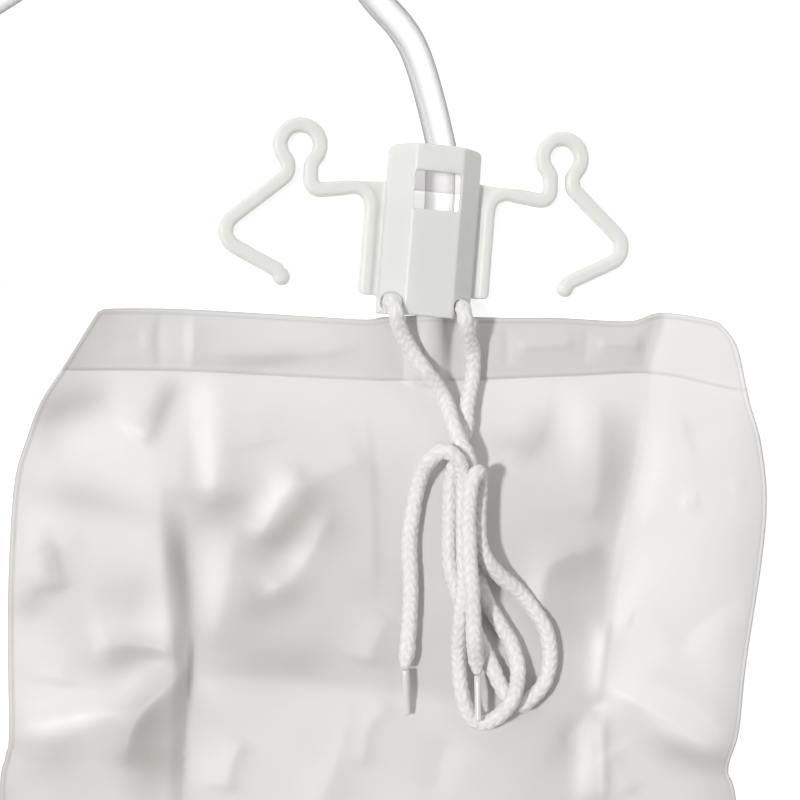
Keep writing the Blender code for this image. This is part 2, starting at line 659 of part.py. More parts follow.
def build_connector(end, heading, body_material, cap_material):
    """A stepped, tapered fitting pushed on the tube, with a cap that pulls off along it."""
    start = end + heading * (2 * GAP)
    start.z = CONNECTOR_HEIGHT
    step = BARREL_LENGTH
    neck = step + COLLAR_LENGTH
    tip = neck + TAPER_LENGTH
    profile = [(0.0, BARREL_RADIUS - 1.0 * MM), (1.0 * MM, BARREL_RADIUS),
               (step - 1.2 * MM, BARREL_RADIUS), (step, BARREL_RADIUS - 1.2 * MM),
               (step, COLLAR_RADIUS), (neck, COLLAR_RADIUS), (neck + 0.5 * MM, TAPER_WIDE),
               (tip - 0.5 * MM, TAPER_TIP), (tip, TAPER_TIP - 0.5 * MM), (tip, CONNECTOR_BORE),
               (0.0, CONNECTOR_BORE)]
    connector = turned("catheter_connector", profile, 24, body_material)
    lay_along(connector, start, heading)

    inside = TAPER_WIDE + GAP
    closed = CAP_LENGTH - CAP_END
    cap_profile = [(0.0, CAP_RADIUS - 0.6 * MM), (0.6 * MM, CAP_RADIUS), (3.4 * MM, CAP_RADIUS),
                   (4.2 * MM, CAP_RADIUS - 0.8 * MM), (CAP_LENGTH - 1.5 * MM, CAP_RADIUS - 1.2 * MM),
                   (CAP_LENGTH, CAP_RADIUS - 2.7 * MM), (CAP_LENGTH, 0.0), (closed, 0.0),
                   (closed, TAPER_TIP + GAP), (0.0, inside)]
    cap = turned("connector_cap", cap_profile, 24, cap_material)
    lay_along(cap, start + heading * (neck + 0.5 * MM), heading)
    return start, cap.location.copy()


def build_tie_cord(material, aglet_material):
    """Two ends of one braid: out of the hanger's holes, through the bow, to the cut ends."""
    hole_left = [(-2.6, 161.9, 4.9), (-2.6, 161.9, 8.0), (-2.5, 161.6, 11.3), (-2.2, 159.1, 13.9),
                 (-1.5, 155.9, 13.0), (0.7, 151.6, 11.0)]
    neck_left = [(4.0, 146.5, 9.9), (7.3, 141.8, 9.7), (11.3, 137.1, 7.7), (14.4, 131.7, 7.5)]
    under_knot = [(15.2, 126.5, 11.9), (16.8, 121.5, 13.2), (19.4, 116.5, 12.9), (21.0, 111.0, 10.7),
                  (21.3, 104.6, 9.0)]
    inner_loop = [(21.3, 97.2, 9.2), (21.9, 88.9, 9.4), (23.4, 80.2, 9.4), (26.4, 72.4, 9.5),
                  (30.1, 66.1, 9.6), (33.7, 59.8, 9.6), (35.2, 51.9, 11.4), (32.5, 44.9, 16.5),
                  (29.1, 39.6, 14.0), (24.9, 36.9, 10.9), (20.8, 39.0, 10.3), (18.1, 46.9, 10.8),
                  (17.3, 58.1, 10.5), (17.1, 69.2, 14.4), (18.0, 79.2, 15.0), (18.1, 90.1, 14.4),
                  (18.1, 100.4, 13.9)]
    over_knot = [(17.9, 106.9, 14.3), (17.4, 111.6, 15.8), (15.2, 116.0, 17.3), (11.4, 117.8, 16.6),
                 (8.0, 115.0, 13.7)]
    tail_left = [(6.2, 111.0, 10.6), (4.6, 103.9, 9.0), (2.7, 91.4, 9.3), (3.1, 76.9, 9.5),
                 (2.3, 62.5, 9.7), (1.2, 53.7, 10.4)]
    left = hole_left + neck_left + under_knot + inner_loop + over_knot + tail_left

    hole_right = [(18.6, 160.2, 4.9), (18.6, 160.2, 8.0), (18.5, 159.9, 11.3), (18.6, 157.4, 13.9),
                  (19.3, 154.2, 12.7), (20.9, 150.6, 9.2)]
    neck_right = [(22.6, 146.9, 6.3), (22.8, 140.1, 4.5), (21.6, 135.0, 5.5), (20.6, 129.9, 6.7)]
    through_knot = [(20.3, 124.6, 7.2), (18.2, 119.0, 7.8), (16.3, 113.0, 8.6), (15.3, 107.0, 8.9)]
    outer_loop = [(15.1, 101.7, 9.1), (14.8, 89.8, 9.3), (15.4, 82.4, 9.4), (17.3, 75.8, 9.5),
                  (20.0, 69.6, 9.5), (23.4, 62.4, 9.6), (26.7, 55.5, 9.9), (29.9, 48.3, 10.4),
                  (32.9, 43.9, 10.7), (36.2, 42.0, 10.8), (39.9, 44.3, 10.6), (43.8, 48.9, 10.0),
                  (45.4, 56.0, 9.6), (44.2, 63.8, 9.5), (40.5, 70.1, 9.5), (35.9, 75.6, 9.5),
                  (29.0, 81.2, 12.0), (24.9, 85.8, 14.2), (23.0, 90.8, 14.6), (22.6, 96.8, 14.3)]
    knot_turn = [(22.7, 100.5, 14.1), (22.9, 106.0, 14.0), (22.6, 110.2, 15.4), (21.4, 111.6, 18.3),
                 (19.3, 108.2, 19.6)]
    tail_middle = [(18.5, 99.2, 19.0), (18.6, 92.4, 19.1), (18.8, 85.4, 19.5), (19.5, 77.2, 19.8),
                   (20.2, 68.8, 18.2), (20.6, 61.7, 17.6), (21.8, 56.1, 14.5), (22.4, 52.0, 13.6)]
    right = hole_right + neck_right + through_knot + outer_loop + knot_turn + tail_middle

    for side, route, tip in (("left", left, (1.9, 40.4, 9.4)), ("right", right, (22.3, 38.7, 14.9))):
        curve = smooth_curve([Vector(point) * MM for point in route], 12)
        points = thin_points(curve, CORD_TURN, CORD_STEP)
        add_tube("tie_cord_" + side, points, CORD_RADIUS, material, 3)
        heading = (Vector(tip) * MM - points[-1]).normalized()
        aglet = turned("aglet_" + side, [(0.0, 0.0), (0.0, AGLET_RADIUS), (AGLET_LENGTH, AGLET_RADIUS),
                                         (AGLET_LENGTH, 0.0)], 12, aglet_material)
        lay_along(aglet, points[-1] + heading * 2 * GAP, heading)


def build_outlet(tube_material, body_material, plunger_material):
    """A short outlet tube and a push-pull tap: a cross barrel with a sliding plunger."""
    tube_start = Vector((OUTLET_X, bottom_edge(OUTLET_X) - GAP, OUTLET_HEIGHT))
    down = Vector((0.0, -1.0, 0.0))
    tube = turned("outlet_tube", [(0.0, OUTLET_BORE), (0.0, OUTLET_RADIUS),
                                  (OUTLET_LENGTH, OUTLET_RADIUS), (OUTLET_LENGTH, OUTLET_BORE)],
                  20, tube_material)
    lay_along(tube, tube_start, down)

    length = TAP_TOP - TAP_BOTTOM
    socket = TAP_SOCKET_DEPTH
    shoulder = TAP_TOP - TAP_BARREL_Y - TAP_BARREL_RADIUS * 0.6
    foot = TAP_TOP - TAP_BARREL_Y + TAP_BARREL_RADIUS * 0.6
    profile = [(0.0, OUTLET_RADIUS + GAP), (0.0, TAP_SOCKET_RADIUS), (socket + MM, TAP_SOCKET_RADIUS),
               (shoulder, SPOUT_WIDE), (foot, SPOUT_WIDE), (length - 2 * MM, SPOUT_TIP),
               (length, SPOUT_TIP - 0.5 * MM), (length, OUTLET_BORE), (socket, OUTLET_BORE),
               (socket, OUTLET_RADIUS + GAP)]
    body = turned("valve_body", profile, 24, body_material)
    body.data.transform(Matrix.Rotation(math.radians(90), 4, "X"))
    body.data.transform(Matrix.Translation((OUTLET_X, TAP_TOP, OUTLET_HEIGHT)))
    across = Matrix.Translation((OUTLET_X, TAP_BARREL_Y, OUTLET_HEIGHT)) @ Matrix.Rotation(
        math.radians(90), 4, "Y")
    half = TAP_BARREL_HALF
    barrel = turned("barrel", [(-half, 0.0), (-half, TAP_BARREL_RADIUS - 0.5 * MM),
                               (-half + 0.5 * MM, TAP_BARREL_RADIUS),
                               (half - 0.5 * MM, TAP_BARREL_RADIUS),
                               (half, TAP_BARREL_RADIUS - 0.5 * MM), (half, 0.0)], 32, None)
    barrel.data.transform(across)
    combine(body, [barrel], "UNION")
    bore_radius = PLUNGER_RADIUS + GAP
    bore = turned("bore", [(-half - MM, 0.0), (-half - MM, bore_radius), (half + MM, bore_radius),
                           (half + MM, 0.0)], 24, None)
    bore.data.transform(across)
    flow = turned("flow", [(socket / 2, 0.0), (socket / 2, OUTLET_BORE), (length - MM, OUTLET_BORE),
                           (length - MM, 0.0)], 24, None)
    flow.data.transform(Matrix.Rotation(math.radians(90), 4, "X"))
    flow.data.transform(Matrix.Translation((OUTLET_X, TAP_TOP, OUTLET_HEIGHT)))
    combine(body, [bore, flow], "DIFFERENCE")
    body.data.shade_smooth()
    body.data.set_sharp_from_angle(angle=math.radians(35))

    right = half + GAP
    left = -half - GAP - PLUNGER_STROKE
    waist = -PLUNGER_STROKE
    waist_half = PLUNGER_WAIST_LENGTH / 2
    slope = PLUNGER_RADIUS - PLUNGER_WAIST
    edge = 0.8 * MM
    profile = [(left - KNOB_THICKNESS, 0.0), (left - KNOB_THICKNESS, KNOB_RADIUS - edge),
               (left - KNOB_THICKNESS + edge, KNOB_RADIUS), (left - edge, KNOB_RADIUS),
               (left, KNOB_RADIUS - edge), (left, PLUNGER_RADIUS),
               (waist - waist_half, PLUNGER_RADIUS), (waist - waist_half + slope / 2, PLUNGER_WAIST),
               (waist + waist_half - slope / 2, PLUNGER_WAIST), (waist + waist_half, PLUNGER_RADIUS),
               (right, PLUNGER_RADIUS), (right, KNOB_RADIUS - edge), (right + edge, KNOB_RADIUS),
               (right + KNOB_THICKNESS - edge, KNOB_RADIUS), (right + KNOB_THICKNESS, KNOB_RADIUS - edge),
               (right + KNOB_THICKNESS, 0.0)]
    plunger = turned("valve_plunger", profile, 24, plunger_material)
    plunger.data.transform(Matrix.Rotation(math.radians(90), 4, "Y"))
    plunger.location = (OUTLET_X, TAP_BARREL_Y, OUTLET_HEIGHT)


clear_scene()
build_film_bag(make_material("film", (0.86, 0.85, 0.84), 0.35))
build_hanger(make_material("moulding", (0.84, 0.85, 0.83), 0.4))
clear_tube = make_material("clear_tube", (0.85, 0.87, 0.88), 0.2)
tail_end, tail_heading = build_inlet_tube(clear_tube)
connector_white = make_material("connector", (0.82, 0.84, 0.84), 0.35)
cap_clear = make_material("cap", (0.72, 0.80, 0.86), 0.25)
build_connector(tail_end, tail_heading, connector_white, cap_clear)
build_tie_cord(make_material("tie_cord", (0.86, 0.86, 0.83), 0.85),
               make_material("aglet", (0.70, 0.71, 0.72), 0.2))
tap_white = make_material("tap_body", (0.83, 0.84, 0.83), 0.4)
build_outlet(make_material("outlet_tube", (0.85, 0.87, 0.88), 0.2), tap_white,
             make_material("plunger", (0.55, 0.68, 0.80), 0.4))
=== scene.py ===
"""Urine drainage bag, dressed for its photograph.

It lies on its back film on a white table. Metres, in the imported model's frame:
+Y runs up the bag to its hanger, +Z is up from the table, +X is to the right.
"""

import math

import bmesh
import bpy
import numpy as np
from mathutils import Matrix, Vector


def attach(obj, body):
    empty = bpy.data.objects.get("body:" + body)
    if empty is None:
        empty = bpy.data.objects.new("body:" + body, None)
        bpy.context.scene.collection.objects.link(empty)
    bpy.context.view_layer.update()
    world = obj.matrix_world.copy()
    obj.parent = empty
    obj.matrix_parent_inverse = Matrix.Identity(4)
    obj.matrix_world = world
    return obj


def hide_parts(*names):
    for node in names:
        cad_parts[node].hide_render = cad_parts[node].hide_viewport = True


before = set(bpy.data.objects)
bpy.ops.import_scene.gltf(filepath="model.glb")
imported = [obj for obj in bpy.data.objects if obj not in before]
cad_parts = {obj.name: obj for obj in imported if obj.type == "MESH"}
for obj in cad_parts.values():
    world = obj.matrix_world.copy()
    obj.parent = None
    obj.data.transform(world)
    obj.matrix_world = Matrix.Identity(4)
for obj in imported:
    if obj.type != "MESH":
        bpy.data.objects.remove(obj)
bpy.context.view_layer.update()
MM = 0.001


# The camera hangs over the hanger and looks down with a 10 degree lean from the
# left, as a copy stand does. The 240 mm field is as wide as the picture.
VIEW_LEAN = math.radians(10)
VIEW_DISTANCE = 0.7
VIEW_TARGET = Vector((1.5 * MM, 132.9 * MM, 0.0))

scene = bpy.context.scene


def new_object(name, data):
    made = bpy.data.objects.new(name, data)
    scene.collection.objects.link(made)
    return made


camera_data = bpy.data.cameras.new("camera")
camera_data.lens = 105.0
camera_data.sensor_width = 36.0
camera = new_object("camera", camera_data)
camera_turn = Matrix.Rotation(-VIEW_LEAN, 4, "Y")
camera_away = Matrix.Translation((0.0, 0.0, VIEW_DISTANCE))
camera.matrix_world = Matrix.Translation(VIEW_TARGET) @ camera_turn @ camera_away
scene.camera = camera


# Film bag: two milky PVC films, heat welded round the rim, along the top band and
# over the two tube ends. It was packed folded in three, so its film keeps two long
# creases, one across, and the soft dents that the packing left.
FILM_THICKNESS = 0.7 * MM
FILM_TOP = 160.0 * MM
FILM_BOTTOM = -170.0 * MM
POUCH_HEIGHT = 6.0 * MM
POUCH_RISE = 15.0 * MM
BAND_PUFF = 1.5 * MM
BAND_ROUND = 0.7
BAND_WAVES = 0.4
PANEL_LIFT = 3.0 * MM
PANEL_LIFT_STOPS = 10.0 * MM
CORD_LIFT = 0.7 * MM
CORD_REST = Vector((20.0, 75.0)) * MM
CORD_REST_REACH = 48.0 * MM
PORT_X = 9.6 * MM
PORT_RADIUS = 4.8 * MM
PORT_HEIGHT = 4.8 * MM
OUTLET_X = 0.0
OUTLET_PORT_RADIUS = 4.3 * MM
OUTLET_HEIGHT = 6.9 * MM
PORT_LEAVES = 0.8
PORT_SHOULDER = 5.1 * MM
PORT_DEPTH = 22.0 * MM
WELD_BEAD = 0.3 * MM
WELD_BEAD_WIDTH = 0.45 * MM
RIM_BEAD_IN = 0.75 * MM
RIM_LINE_IN = 1.6 * MM
LINE_WIDTH = 0.32 * MM
# How many steps a curve takes from one point of its route to the next
CURVE_STEPS = 12
FOLD_CURVE_STEPS = 4
# The film's mesh: steps in from its edges in mm, and how many steps lie between them
RIM_STEPS = [0.0, 0.3, 0.6, 0.9, 1.2, 1.5, 1.8, 2.2, 3.0]
WELD_STEPS = [0.0, 0.35, 0.7, 1.1, 1.6]
STEPS_ACROSS = 236
STEPS_SEEN = 154
STEPS_UNSEEN = 67
STEPS_BAND = 16
STEPS_FOOT = 8
SETTLING_ROUNDS = 10
# Faint waves of the film: wavelength and direction in mm and degrees, height in mm
WAVES = [(38.0, 20.0, 0.22), (27.0, 75.0, 0.16), (21.0, 130.0, 0.11), (16.0, 48.0, 0.07)]
WAVE_BEND = 0.12
WAVE_BEND_LENGTH = 2.3


def smooth_curve(points, steps):
    """Catmull-Rom curve through a short route."""
    knots = [Vector(p) for p in points]
    ends = [2 * knots[0] - knots[1]] + knots + [2 * knots[-1] - knots[-2]]
    curve = []
    for i in range(1, len(ends) - 2):
        p0, p1, p2, p3 = ends[i - 1:i + 3]
        for step in range(steps):
            t = step / steps
            curve.append(0.5 * (2 * p1 + (p2 - p0) * t + (2 * p0 - 5 * p1 + 4 * p2 - p3) * t ** 2
                                + (3 * p1 - 3 * p2 + p3 - p0) * t ** 3))
    curve.append(knots[-1])
    return curve


def guide(points):
    """A line on the film: the second coordinate for arrays of the first, in metres."""
    route = [(a * MM, b * MM, 0.0) for a, b in points]
    curve = np.array([p.xy for p in smooth_curve(route, CURVE_STEPS)])
    if curve[0, 0] > curve[-1, 0]:
        curve = curve[::-1]
    return lambda at: np.interp(at, curve[:, 0], curve[:, 1])


# Lines down the film, as (y, x) in mm
left_edge = guide([(158.8, -88.6), (143.4, -98.1), (132.5, -105.0), (121.8, -109.1),
                   (109.9, -112.5), (90.7, -114.0), (66.8, -114.6), (35.4, -114.3), (29.0, -115.3),
                   (14.0, -117.0), (-60.0, -115.8), (-130.0, -113.5), (-177.6, -111.0)])
left_crease = guide([(159.7, -61.6), (141.2, -60.7), (103.4, -61.0), (62.1, -61.6), (15.0, -64.5),
                     (-60.0, -66.0), (-177.6, -60.0)])
right_crease = guide([(156.4, 82.5), (141.1, 78.2), (114.0, 74.4), (84.2, 68.4), (41.4, 61.5),
                      (11.3, 60.3), (-60.0, 62.0), (-177.6, 58.0)])
right_edge = guide([(154.9, 102.9), (148.6, 106.9), (132.3, 110.7), (120.3, 114.2), (103.0, 116.2),
                    (83.6, 114.6), (52.0, 109.6), (30.8, 107.2), (19.3, 103.8), (10.0, 106.3),
                    (-30.0, 110.0), (-100.0, 112.6), (-177.6, 110.0)])

# Lines across the film, as (x, y) in mm
top_edge = guide([(-88.6, 158.8), (-84.0, 159.8), (-62.7, 159.7), (-27.1, 157.9), (-9.3, 157.0),
                  (-3.0, 157.8), (9.6, 158.0), (22.7, 157.9), (34.0, 157.8), (50.6, 157.8),
                  (72.2, 157.0), (82.5, 159.6), (98.4, 157.5), (102.9, 154.9)])
band_weld = guide([(-98.0, 141.4), (-61.9, 141.2), (1.3, 138.5), (50.6, 139.9), (79.8, 140.8),
                   (102.4, 136.5), (109.5, 135.6)])
cross_crease = guide([(-113.3, 35.4), (-91.7, 41.2), (-80.6, 43.0), (-61.6, 54.0), (0.7, 48.1),
                      (50.6, 38.3), (87.1, 26.1), (103.3, 19.3)])
view_line = guide([(-116.0, -8.0), (116.0, -8.0)])
bottom_weld = guide([(-114.0, -163.0), (-50.0, -164.0), (50.0, -164.0), (112.0, -163.0)])
bottom_edge = guide([(-111.0, -176.4), (-60.0, -177.6), (60.0, -177.6), (110.0, -176.4)])

# Folds of the top band: a line in mm, the width on its left hand and on its right hand
# as one follows it, and its height, which is negative for a dent
BAND_FOLDS = [
    ([(-70, 160), (-71, 153), (-71, 148), (-70, 140)], 4, 1.2, -1.1),
    ([(-61, 160), (-61, 150), (-61, 140)], 5, 1.4, 1.4),
    ([(-61, 147), (-33, 146), (-9, 149)], 4, 2.6, 1.1),
    ([(-88, 149), (-74, 151)], 4, 3, -0.8),
    ([(36, 149), (56, 150)], 2.4, 2.4, 1),
    ([(61, 150), (77, 150)], 2.4, 2.4, 1),
    ([(34, 156), (34, 142)], 1.6, 1.6, -0.6),
    ([(59, 156), (58, 143)], 1.6, 1.6, -0.6),
    ([(82, 161), (79, 153), (77, 144), (76, 135)], 3.5, 3, -1.3),
]
# Folds of the pouch, written in the same way, the last ones below the photograph
POUCH_FOLDS = [
    ([(-108, 124), (-95, 129), (-81, 136)], 4.5, 9, -2),
    ([(-65, 139), (-70, 132), (-74, 124), (-77, 119)], 3.2, 8, 2.6),
    ([(-64, 134), (-64, 121), (-65, 109), (-66, 102)], 9, 11, 1.9),
    ([(-69, 110), (-70, 98), (-70, 86), (-69, 74), (-68, 63), (-67, 56), (-68, 45), (-68, 33),
      (-68, 16), (-67, -7)], 5.6, 13, 2.6),
    ([(-71, 113), (-71, 102), (-70, 92), (-69, 80), (-68, 68), (-67, 58), (-66, 48)], 5, 9, 1.7),
    ([(-63, 104), (-63, 86), (-62, 71), (-61, 61), (-61, 54), (-62, 45), (-63, 33), (-63, 10)],
     5, 3.4, -1.6),
    ([(-56, 141), (-55, 121), (-55, 100)], 9, 5, 2.6),
    ([(-104, 92), (-101, 86), (-99, 77)], 3, 8, 1.7),
    ([(-109, 69), (-107, 81), (-102, 90), (-91, 92)], 6, 5, 1),
    ([(-91, 60), (-79, 62), (-64, 59)], 7, 3.5, 1.5),
    ([(-116, 35), (-103, 39), (-88, 42), (-79, 44), (-69, 50), (-61, 56)], 4.5, 12, 3.4),
    ([(-62, 55), (-71, 48), (-79, 38), (-82, 25)], 8, 4, 3.3),
    ([(-29, 115), (-36, 103), (-43, 90)], 8, 5, 2.9),
    ([(-8, 118), (-18, 113), (-28, 108), (-35, 102)], 6, 8, 2.4),
    ([(-19, 104), (-25, 91), (-31, 82), (-42, 73)], 6, 5.4, 2.5),
    ([(-11, 135), (-9, 118), (-8, 97), (-8, 71)], 1.6, 9, 0.8),
    ([(-64, 57), (-47, 54), (-30, 52), (-15, 50), (0, 48), (25, 46), (49, 43), (66, 42)],
     8, 6, -1.5),
    ([(-3, 70), (-7, 62), (-10, 53)], 4, 7, 1.5),
    ([(-46, 34), (-50, 26), (-51, 17)], 3, 7, 1.4),
    ([(-11, 23), (-9, 37), (-1, 42)], 4, 3, 1),
    ([(-48, 98), (-52, 74), (-56, 58)], 10, 7, 1.7),
    ([(-14, 47), (-18, 29), (-23, 15), (-26, -3)], 7, 11, 1.7),
    ([(15, 33), (10, 14)], 5, 5, -0.8),
    ([(76, 137), (74, 121), (71, 106), (67, 91), (64, 72), (62, 60)], 9, 10, -2.9),
    ([(61, 137), (62, 124), (61, 109), (58, 94)], 6, 8, 2.2),
    ([(46, 139), (45, 127), (40, 119), (31, 116)], 4, 4, 1.5),
    ([(65, 89), (50, 86), (44, 80), (43, 66)], 6, 4, 2.3),
    ([(79, 141), (75, 114), (69, 86), (65, 64)], 2.2, 2.2, 0.8),
    ([(64, 67), (62, 54), (61, 41)], 3, 3, 1.4),
    ([(62, 42), (62, 27), (62, 9)], 2.6, 6, 2.4),
    ([(49, 29), (56, 36), (62, 42)], 4, 4, -1.2),
    ([(62, 48), (77, 39), (90, 31), (98, 25), (108, 17)], 8, 4.4, 3.8),
    ([(87, 102), (93, 102)], 2.4, 2.4, 0.8),
    ([(103, 106), (109, 107)], 2.4, 2.4, 0.8),
    ([(88, 122), (106, 127)], 7, 6, -1.4),
    ([(84, 55), (98, 68), (110, 72)], 7, 6, -1.5),
    ([(64, 69), (72, 66)], 3, 3, 0.8),
    ([(64, 29), (72, 13)], 5, 5, 1.2),
    ([(74, 90), (81, 112), (83, 133)], 9, 9, 1),
    ([(-97, 63), (-100, 49)], 8, 8, 1),
    ([(-44, 134), (-41, 118)], 8, 8, 1),
    ([(-67, -4), (-67, -60), (-64, -110), (-61, -160)], 4, 12, 2.3),
    ([(62, 12), (63, -40), (61, -100), (58, -160)], 6, 8, -2),
    ([(-115, -62), (-60, -70), (0, -66), (60, -72), (111, -64)], 8, 7, 1.7),
    ([(-100, -20), (-84, -8), (-70, 2)], 8, 5, 1.3),
    ([(-50, -52), (-20, -30), (14, -24)], 9, 5, 1.6),
    ([(20, -60), (46, -30), (60, -22)], 6, 10, 1.3),
    ([(72, -52), (90, -28), (106, -14)], 8, 6, 1.3),
    ([(-104, -128), (-84, -104), (-66, -92)], 8, 9, 1.4),
    ([(-48, -150), (-26, -118), (-16, -86)], 6, 10, 1.6),
    ([(6, -92), (24, -118), (30, -150)], 8, 6, 1.4),
    ([(70, -88), (88, -112), (98, -146)], 9, 7, 1.3),
]

# Painted shade and painted light on the film's tone, standing in for the shading of its folds:
# a line, the width on both its hands, and how much greyer it is painted (a negative amount paints
# it clearer)
PAINTED_SHADE_STROKES = [
    ([(-112, 124), (-96, 132), (-80, 138)], 6, 1),
    ([(-65, 143), (-70, 132), (-76, 119)], 3.2, 1),
    ([(-114, 107), (-92, 104), (-68, 97)], 4.5, 0.6),
    ([(-104, 99), (-102, 86), (-100, 73)], 3.2, 0.9),
    ([(-114, 66), (-101, 84)], 4.5, 0.7),
    ([(-94, 77), (-69, 75)], 7, 0.6),
    ([(-96, 54), (-76, 59), (-60, 61)], 6, 1.2),
    ([(-68, 113), (-67, 94), (-64, 77), (-62, 55)], 4, 1.1),
    ([(-86, 24), (-76, 38), (-63, 51)], 8, 0.8),
    ([(-82, 14), (-72, 27), (-62, 34)], 8, 0.6),
    ([(-79, 108), (-76, 84), (-75, 60)], 7, 0.5),
    ([(-116, 24), (-90, 36)], 6, 0.5),
    ([(-112, 70), (-84, 66)], 14, 0.4),
    ([(-49, 80), (-34, 95), (-15, 110)], 6, 0.9),
    ([(-54, 66), (-36, 75), (-20, 80)], 6, 0.6),
    ([(-62, 56), (-40, 55), (-8, 53)], 7, 0.45),
    ([(-64, 99), (-41, 104)], 5, 0.6),
    ([(-60, 143), (-42, 144), (-18, 149)], 3, 0.5),
    ([(-58, 146), (-57, 120), (-55, 96)], 4.5, -1),
    ([(-108, 118), (-90, 121), (-70, 108)], 9, -0.3),
    ([(-44, 90), (-38, 101), (-31, 114)], 4.2, -0.9),
    ([(-43, 72), (-31, 82), (-21, 95)], 5, -0.6),
    ([(-57, 101), (-54, 65)], 6, -0.6),
    ([(-118, 35), (-98, 39), (-78, 45)], 3, -0.9),
    ([(67, 135), (63, 99)], 8, 0.5),
    ([(43, 74), (63, 91)], 8, 0.5),
    ([(43, 71), (62, 60)], 8, 0.4),
    ([(23, 122), (40, 120), (46, 137)], 4, 0.7),
    ([(70, 32), (88, 26), (108, 20)], 4.6, 0.8),
    ([(68, 47), (86, 36), (106, 24)], 5, -1.3),
    ([(62, 71), (60, 38)], 3.2, -0.8),
    ([(57, 42), (55, 4)], 3.2, -0.8),
    ([(61, 43), (42, 17)], 5.5, 0.5),
    ([(51, 141), (58, 106)], 6, -0.5),
]
PAINTED_SHADING_MOST = 2.0
RIM_GREYING = 0.5
RIM_GREYING_REACH = 8.0 * MM
# How much lighter the film's tone is made in some of its parts: painted light on the left
# panel and below the band weld, where the film faces the lamps
RIGHT_PANEL_LIGHTER = 0.35
RIGHT_PANEL_LIGHTER_HIGH = 0.52
LEFT_PANEL_PAINTED_LIGHT = 0.5
UNDER_WELD_PAINTED_LIGHT = 0.6
LOW_MIDDLE_LIGHTER = 0.4
BAND_MIDDLE_LIGHTER = 0.4
BAND_MIDDLE_X = -30.0 * MM
BAND_MIDDLE_REACH = 34.0 * MM
# How dark the weld lines look, and the painted shadow in the tuck, where the left crease
# lies under itself
RIM_LINE_DARK = 0.5
TOP_WELD_DARK = 0.32
TOP_WELD_IN = 0.35 * MM
BOTTOM_WELD_DARK = 0.7
TUCK_LOW = 42.0 * MM
TUCK_HIGH = 67.0 * MM
TUCK_ENDS = 11.0 * MM
TUCK_WIDTH = 0.8 * MM
TUCK_SHADOW_DARK = 1.5
FILM_PALE = (0.925, 0.908, 0.898)
FILM_GREY = (0.51, 0.487, 0.464)
FILM_LINES = (0.40, 0.39, 0.38)


def ease(value):
    """A soft step from 0 to 1."""
    value = np.clip(value, 0.0, 1.0)
    return value * value * (3.0 - 2.0 * value)


def fold_field(x, y, folds, crispness=1.35, run_out=0.22):
    """Sum of folds at places on the film, each with its own width on either hand."""
    total = np.zeros_like(x)
    for line, left_width, right_width, height in folds:
        route = [(a * MM, b * MM, 0.0) for a, b in line]
        path = [p.xy for p in smooth_curve(route, FOLD_CURVE_STEPS)]
        nearest = np.full_like(x, 1.0)
        hand = np.zeros_like(x)
        reached = np.zeros_like(x)
        length = 0.0
        for (ax, ay), (bx, by) in zip(path, path[1:]):
            run_x = bx - ax
            run_y = by - ay
            run = math.hypot(run_x, run_y)
            share = np.clip(((x - ax) * run_x + (y - ay) * run_y) / run ** 2, 0.0, 1.0)
            away = np.hypot(x - ax - run_x * share, y - ay - run_y * share)
            closer = away < nearest
            nearest = np.where(closer, away, nearest)
            hand = np.where(closer, run_x * (y - ay) - run_y * (x - ax), hand)
            reached = np.where(closer, length + share * run, reached)
            length += run
        width = np.where(hand > 0, left_width, right_width) * MM
        taper = ease(np.minimum(reached, length - reached) / (run_out * length))
        total += height * MM * taper * np.exp(-(nearest / width) ** crispness)
    return total


def port_bulge(x, inward, centre_x, radius, axis_height):
    """Film drawn over a round tube end that is welded between the two films."""
    fade = np.clip(1.0 - inward / PORT_DEPTH, 0.0, 1.0)
    offset = np.abs(x - centre_x)
    leaves = PORT_LEAVES * radius
    leaves_rise = math.sqrt(1.0 - PORT_LEAVES ** 2) * radius
    rise = np.sqrt(np.clip(radius ** 2 - offset ** 2, 0.0, None))
    round_part = axis_height + rise + FILM_THICKNESS
    shoulder = axis_height + leaves_rise + FILM_THICKNESS
    shoulder = shoulder * (1.0 - (offset - leaves) / PORT_SHOULDER)
    return np.where(offset < leaves, round_part, np.clip(shoulder, 0.0, None)) * np.sqrt(fade)


def film_rise(distance):
    """How far the pouch has filled out at a distance from a weld."""
    return 1.0 - np.exp(-np.clip(distance, 0.0, None) / POUCH_RISE)


def line_mark(distance):
    """1 on a line, 0 away from it."""
    return np.exp(-(distance / LINE_WIDTH) ** 2)


def strip(count, first_steps, last_steps=(0.0,)):
    """Places across a strip of film as (share, inset), close together near its two edges."""
    first = first_steps[-1]
    last = last_steps[-1]
    places = [(0.0, step) for step in first_steps]
    places += [(i / count, first - (first + last) * i / count) for i in range(1, count)]
    return places + [(1.0, -step) for step in reversed(last_steps)]


columns = np.array(strip(STEPS_ACROSS, RIM_STEPS, RIM_STEPS))
share_x = columns[:, 0]
inset_x = columns[:, 1] * MM
rows = []
for upper, lower, places in (
        (top_edge, band_weld, strip(STEPS_BAND, RIM_STEPS, WELD_STEPS)[:-1]),
        (band_weld, view_line, strip(STEPS_SEEN, WELD_STEPS)[:-1]),
        (view_line, bottom_weld, strip(STEPS_UNSEEN, [0.0], WELD_STEPS)[:-1]),
        (bottom_weld, bottom_edge, strip(STEPS_FOOT, WELD_STEPS, RIM_STEPS))):
    rows += [(upper, lower, share, inset * MM) for share, inset in places]

# Lines across and lines down ask for each other's place, so they settle in rounds
film_x = np.zeros((len(rows), len(columns)))
film_y = np.linspace(FILM_TOP, FILM_BOTTOM, len(rows))[:, None] + film_x
for _ in range(SETTLING_ROUNDS):
    film_x = left_edge(film_y) * (1.0 - share_x) + right_edge(film_y) * share_x + inset_x
    film_y = np.stack([upper(line) * (1.0 - share) + lower(line) * share - inset
                       for line, (upper, lower, share, inset) in zip(film_x, rows)])

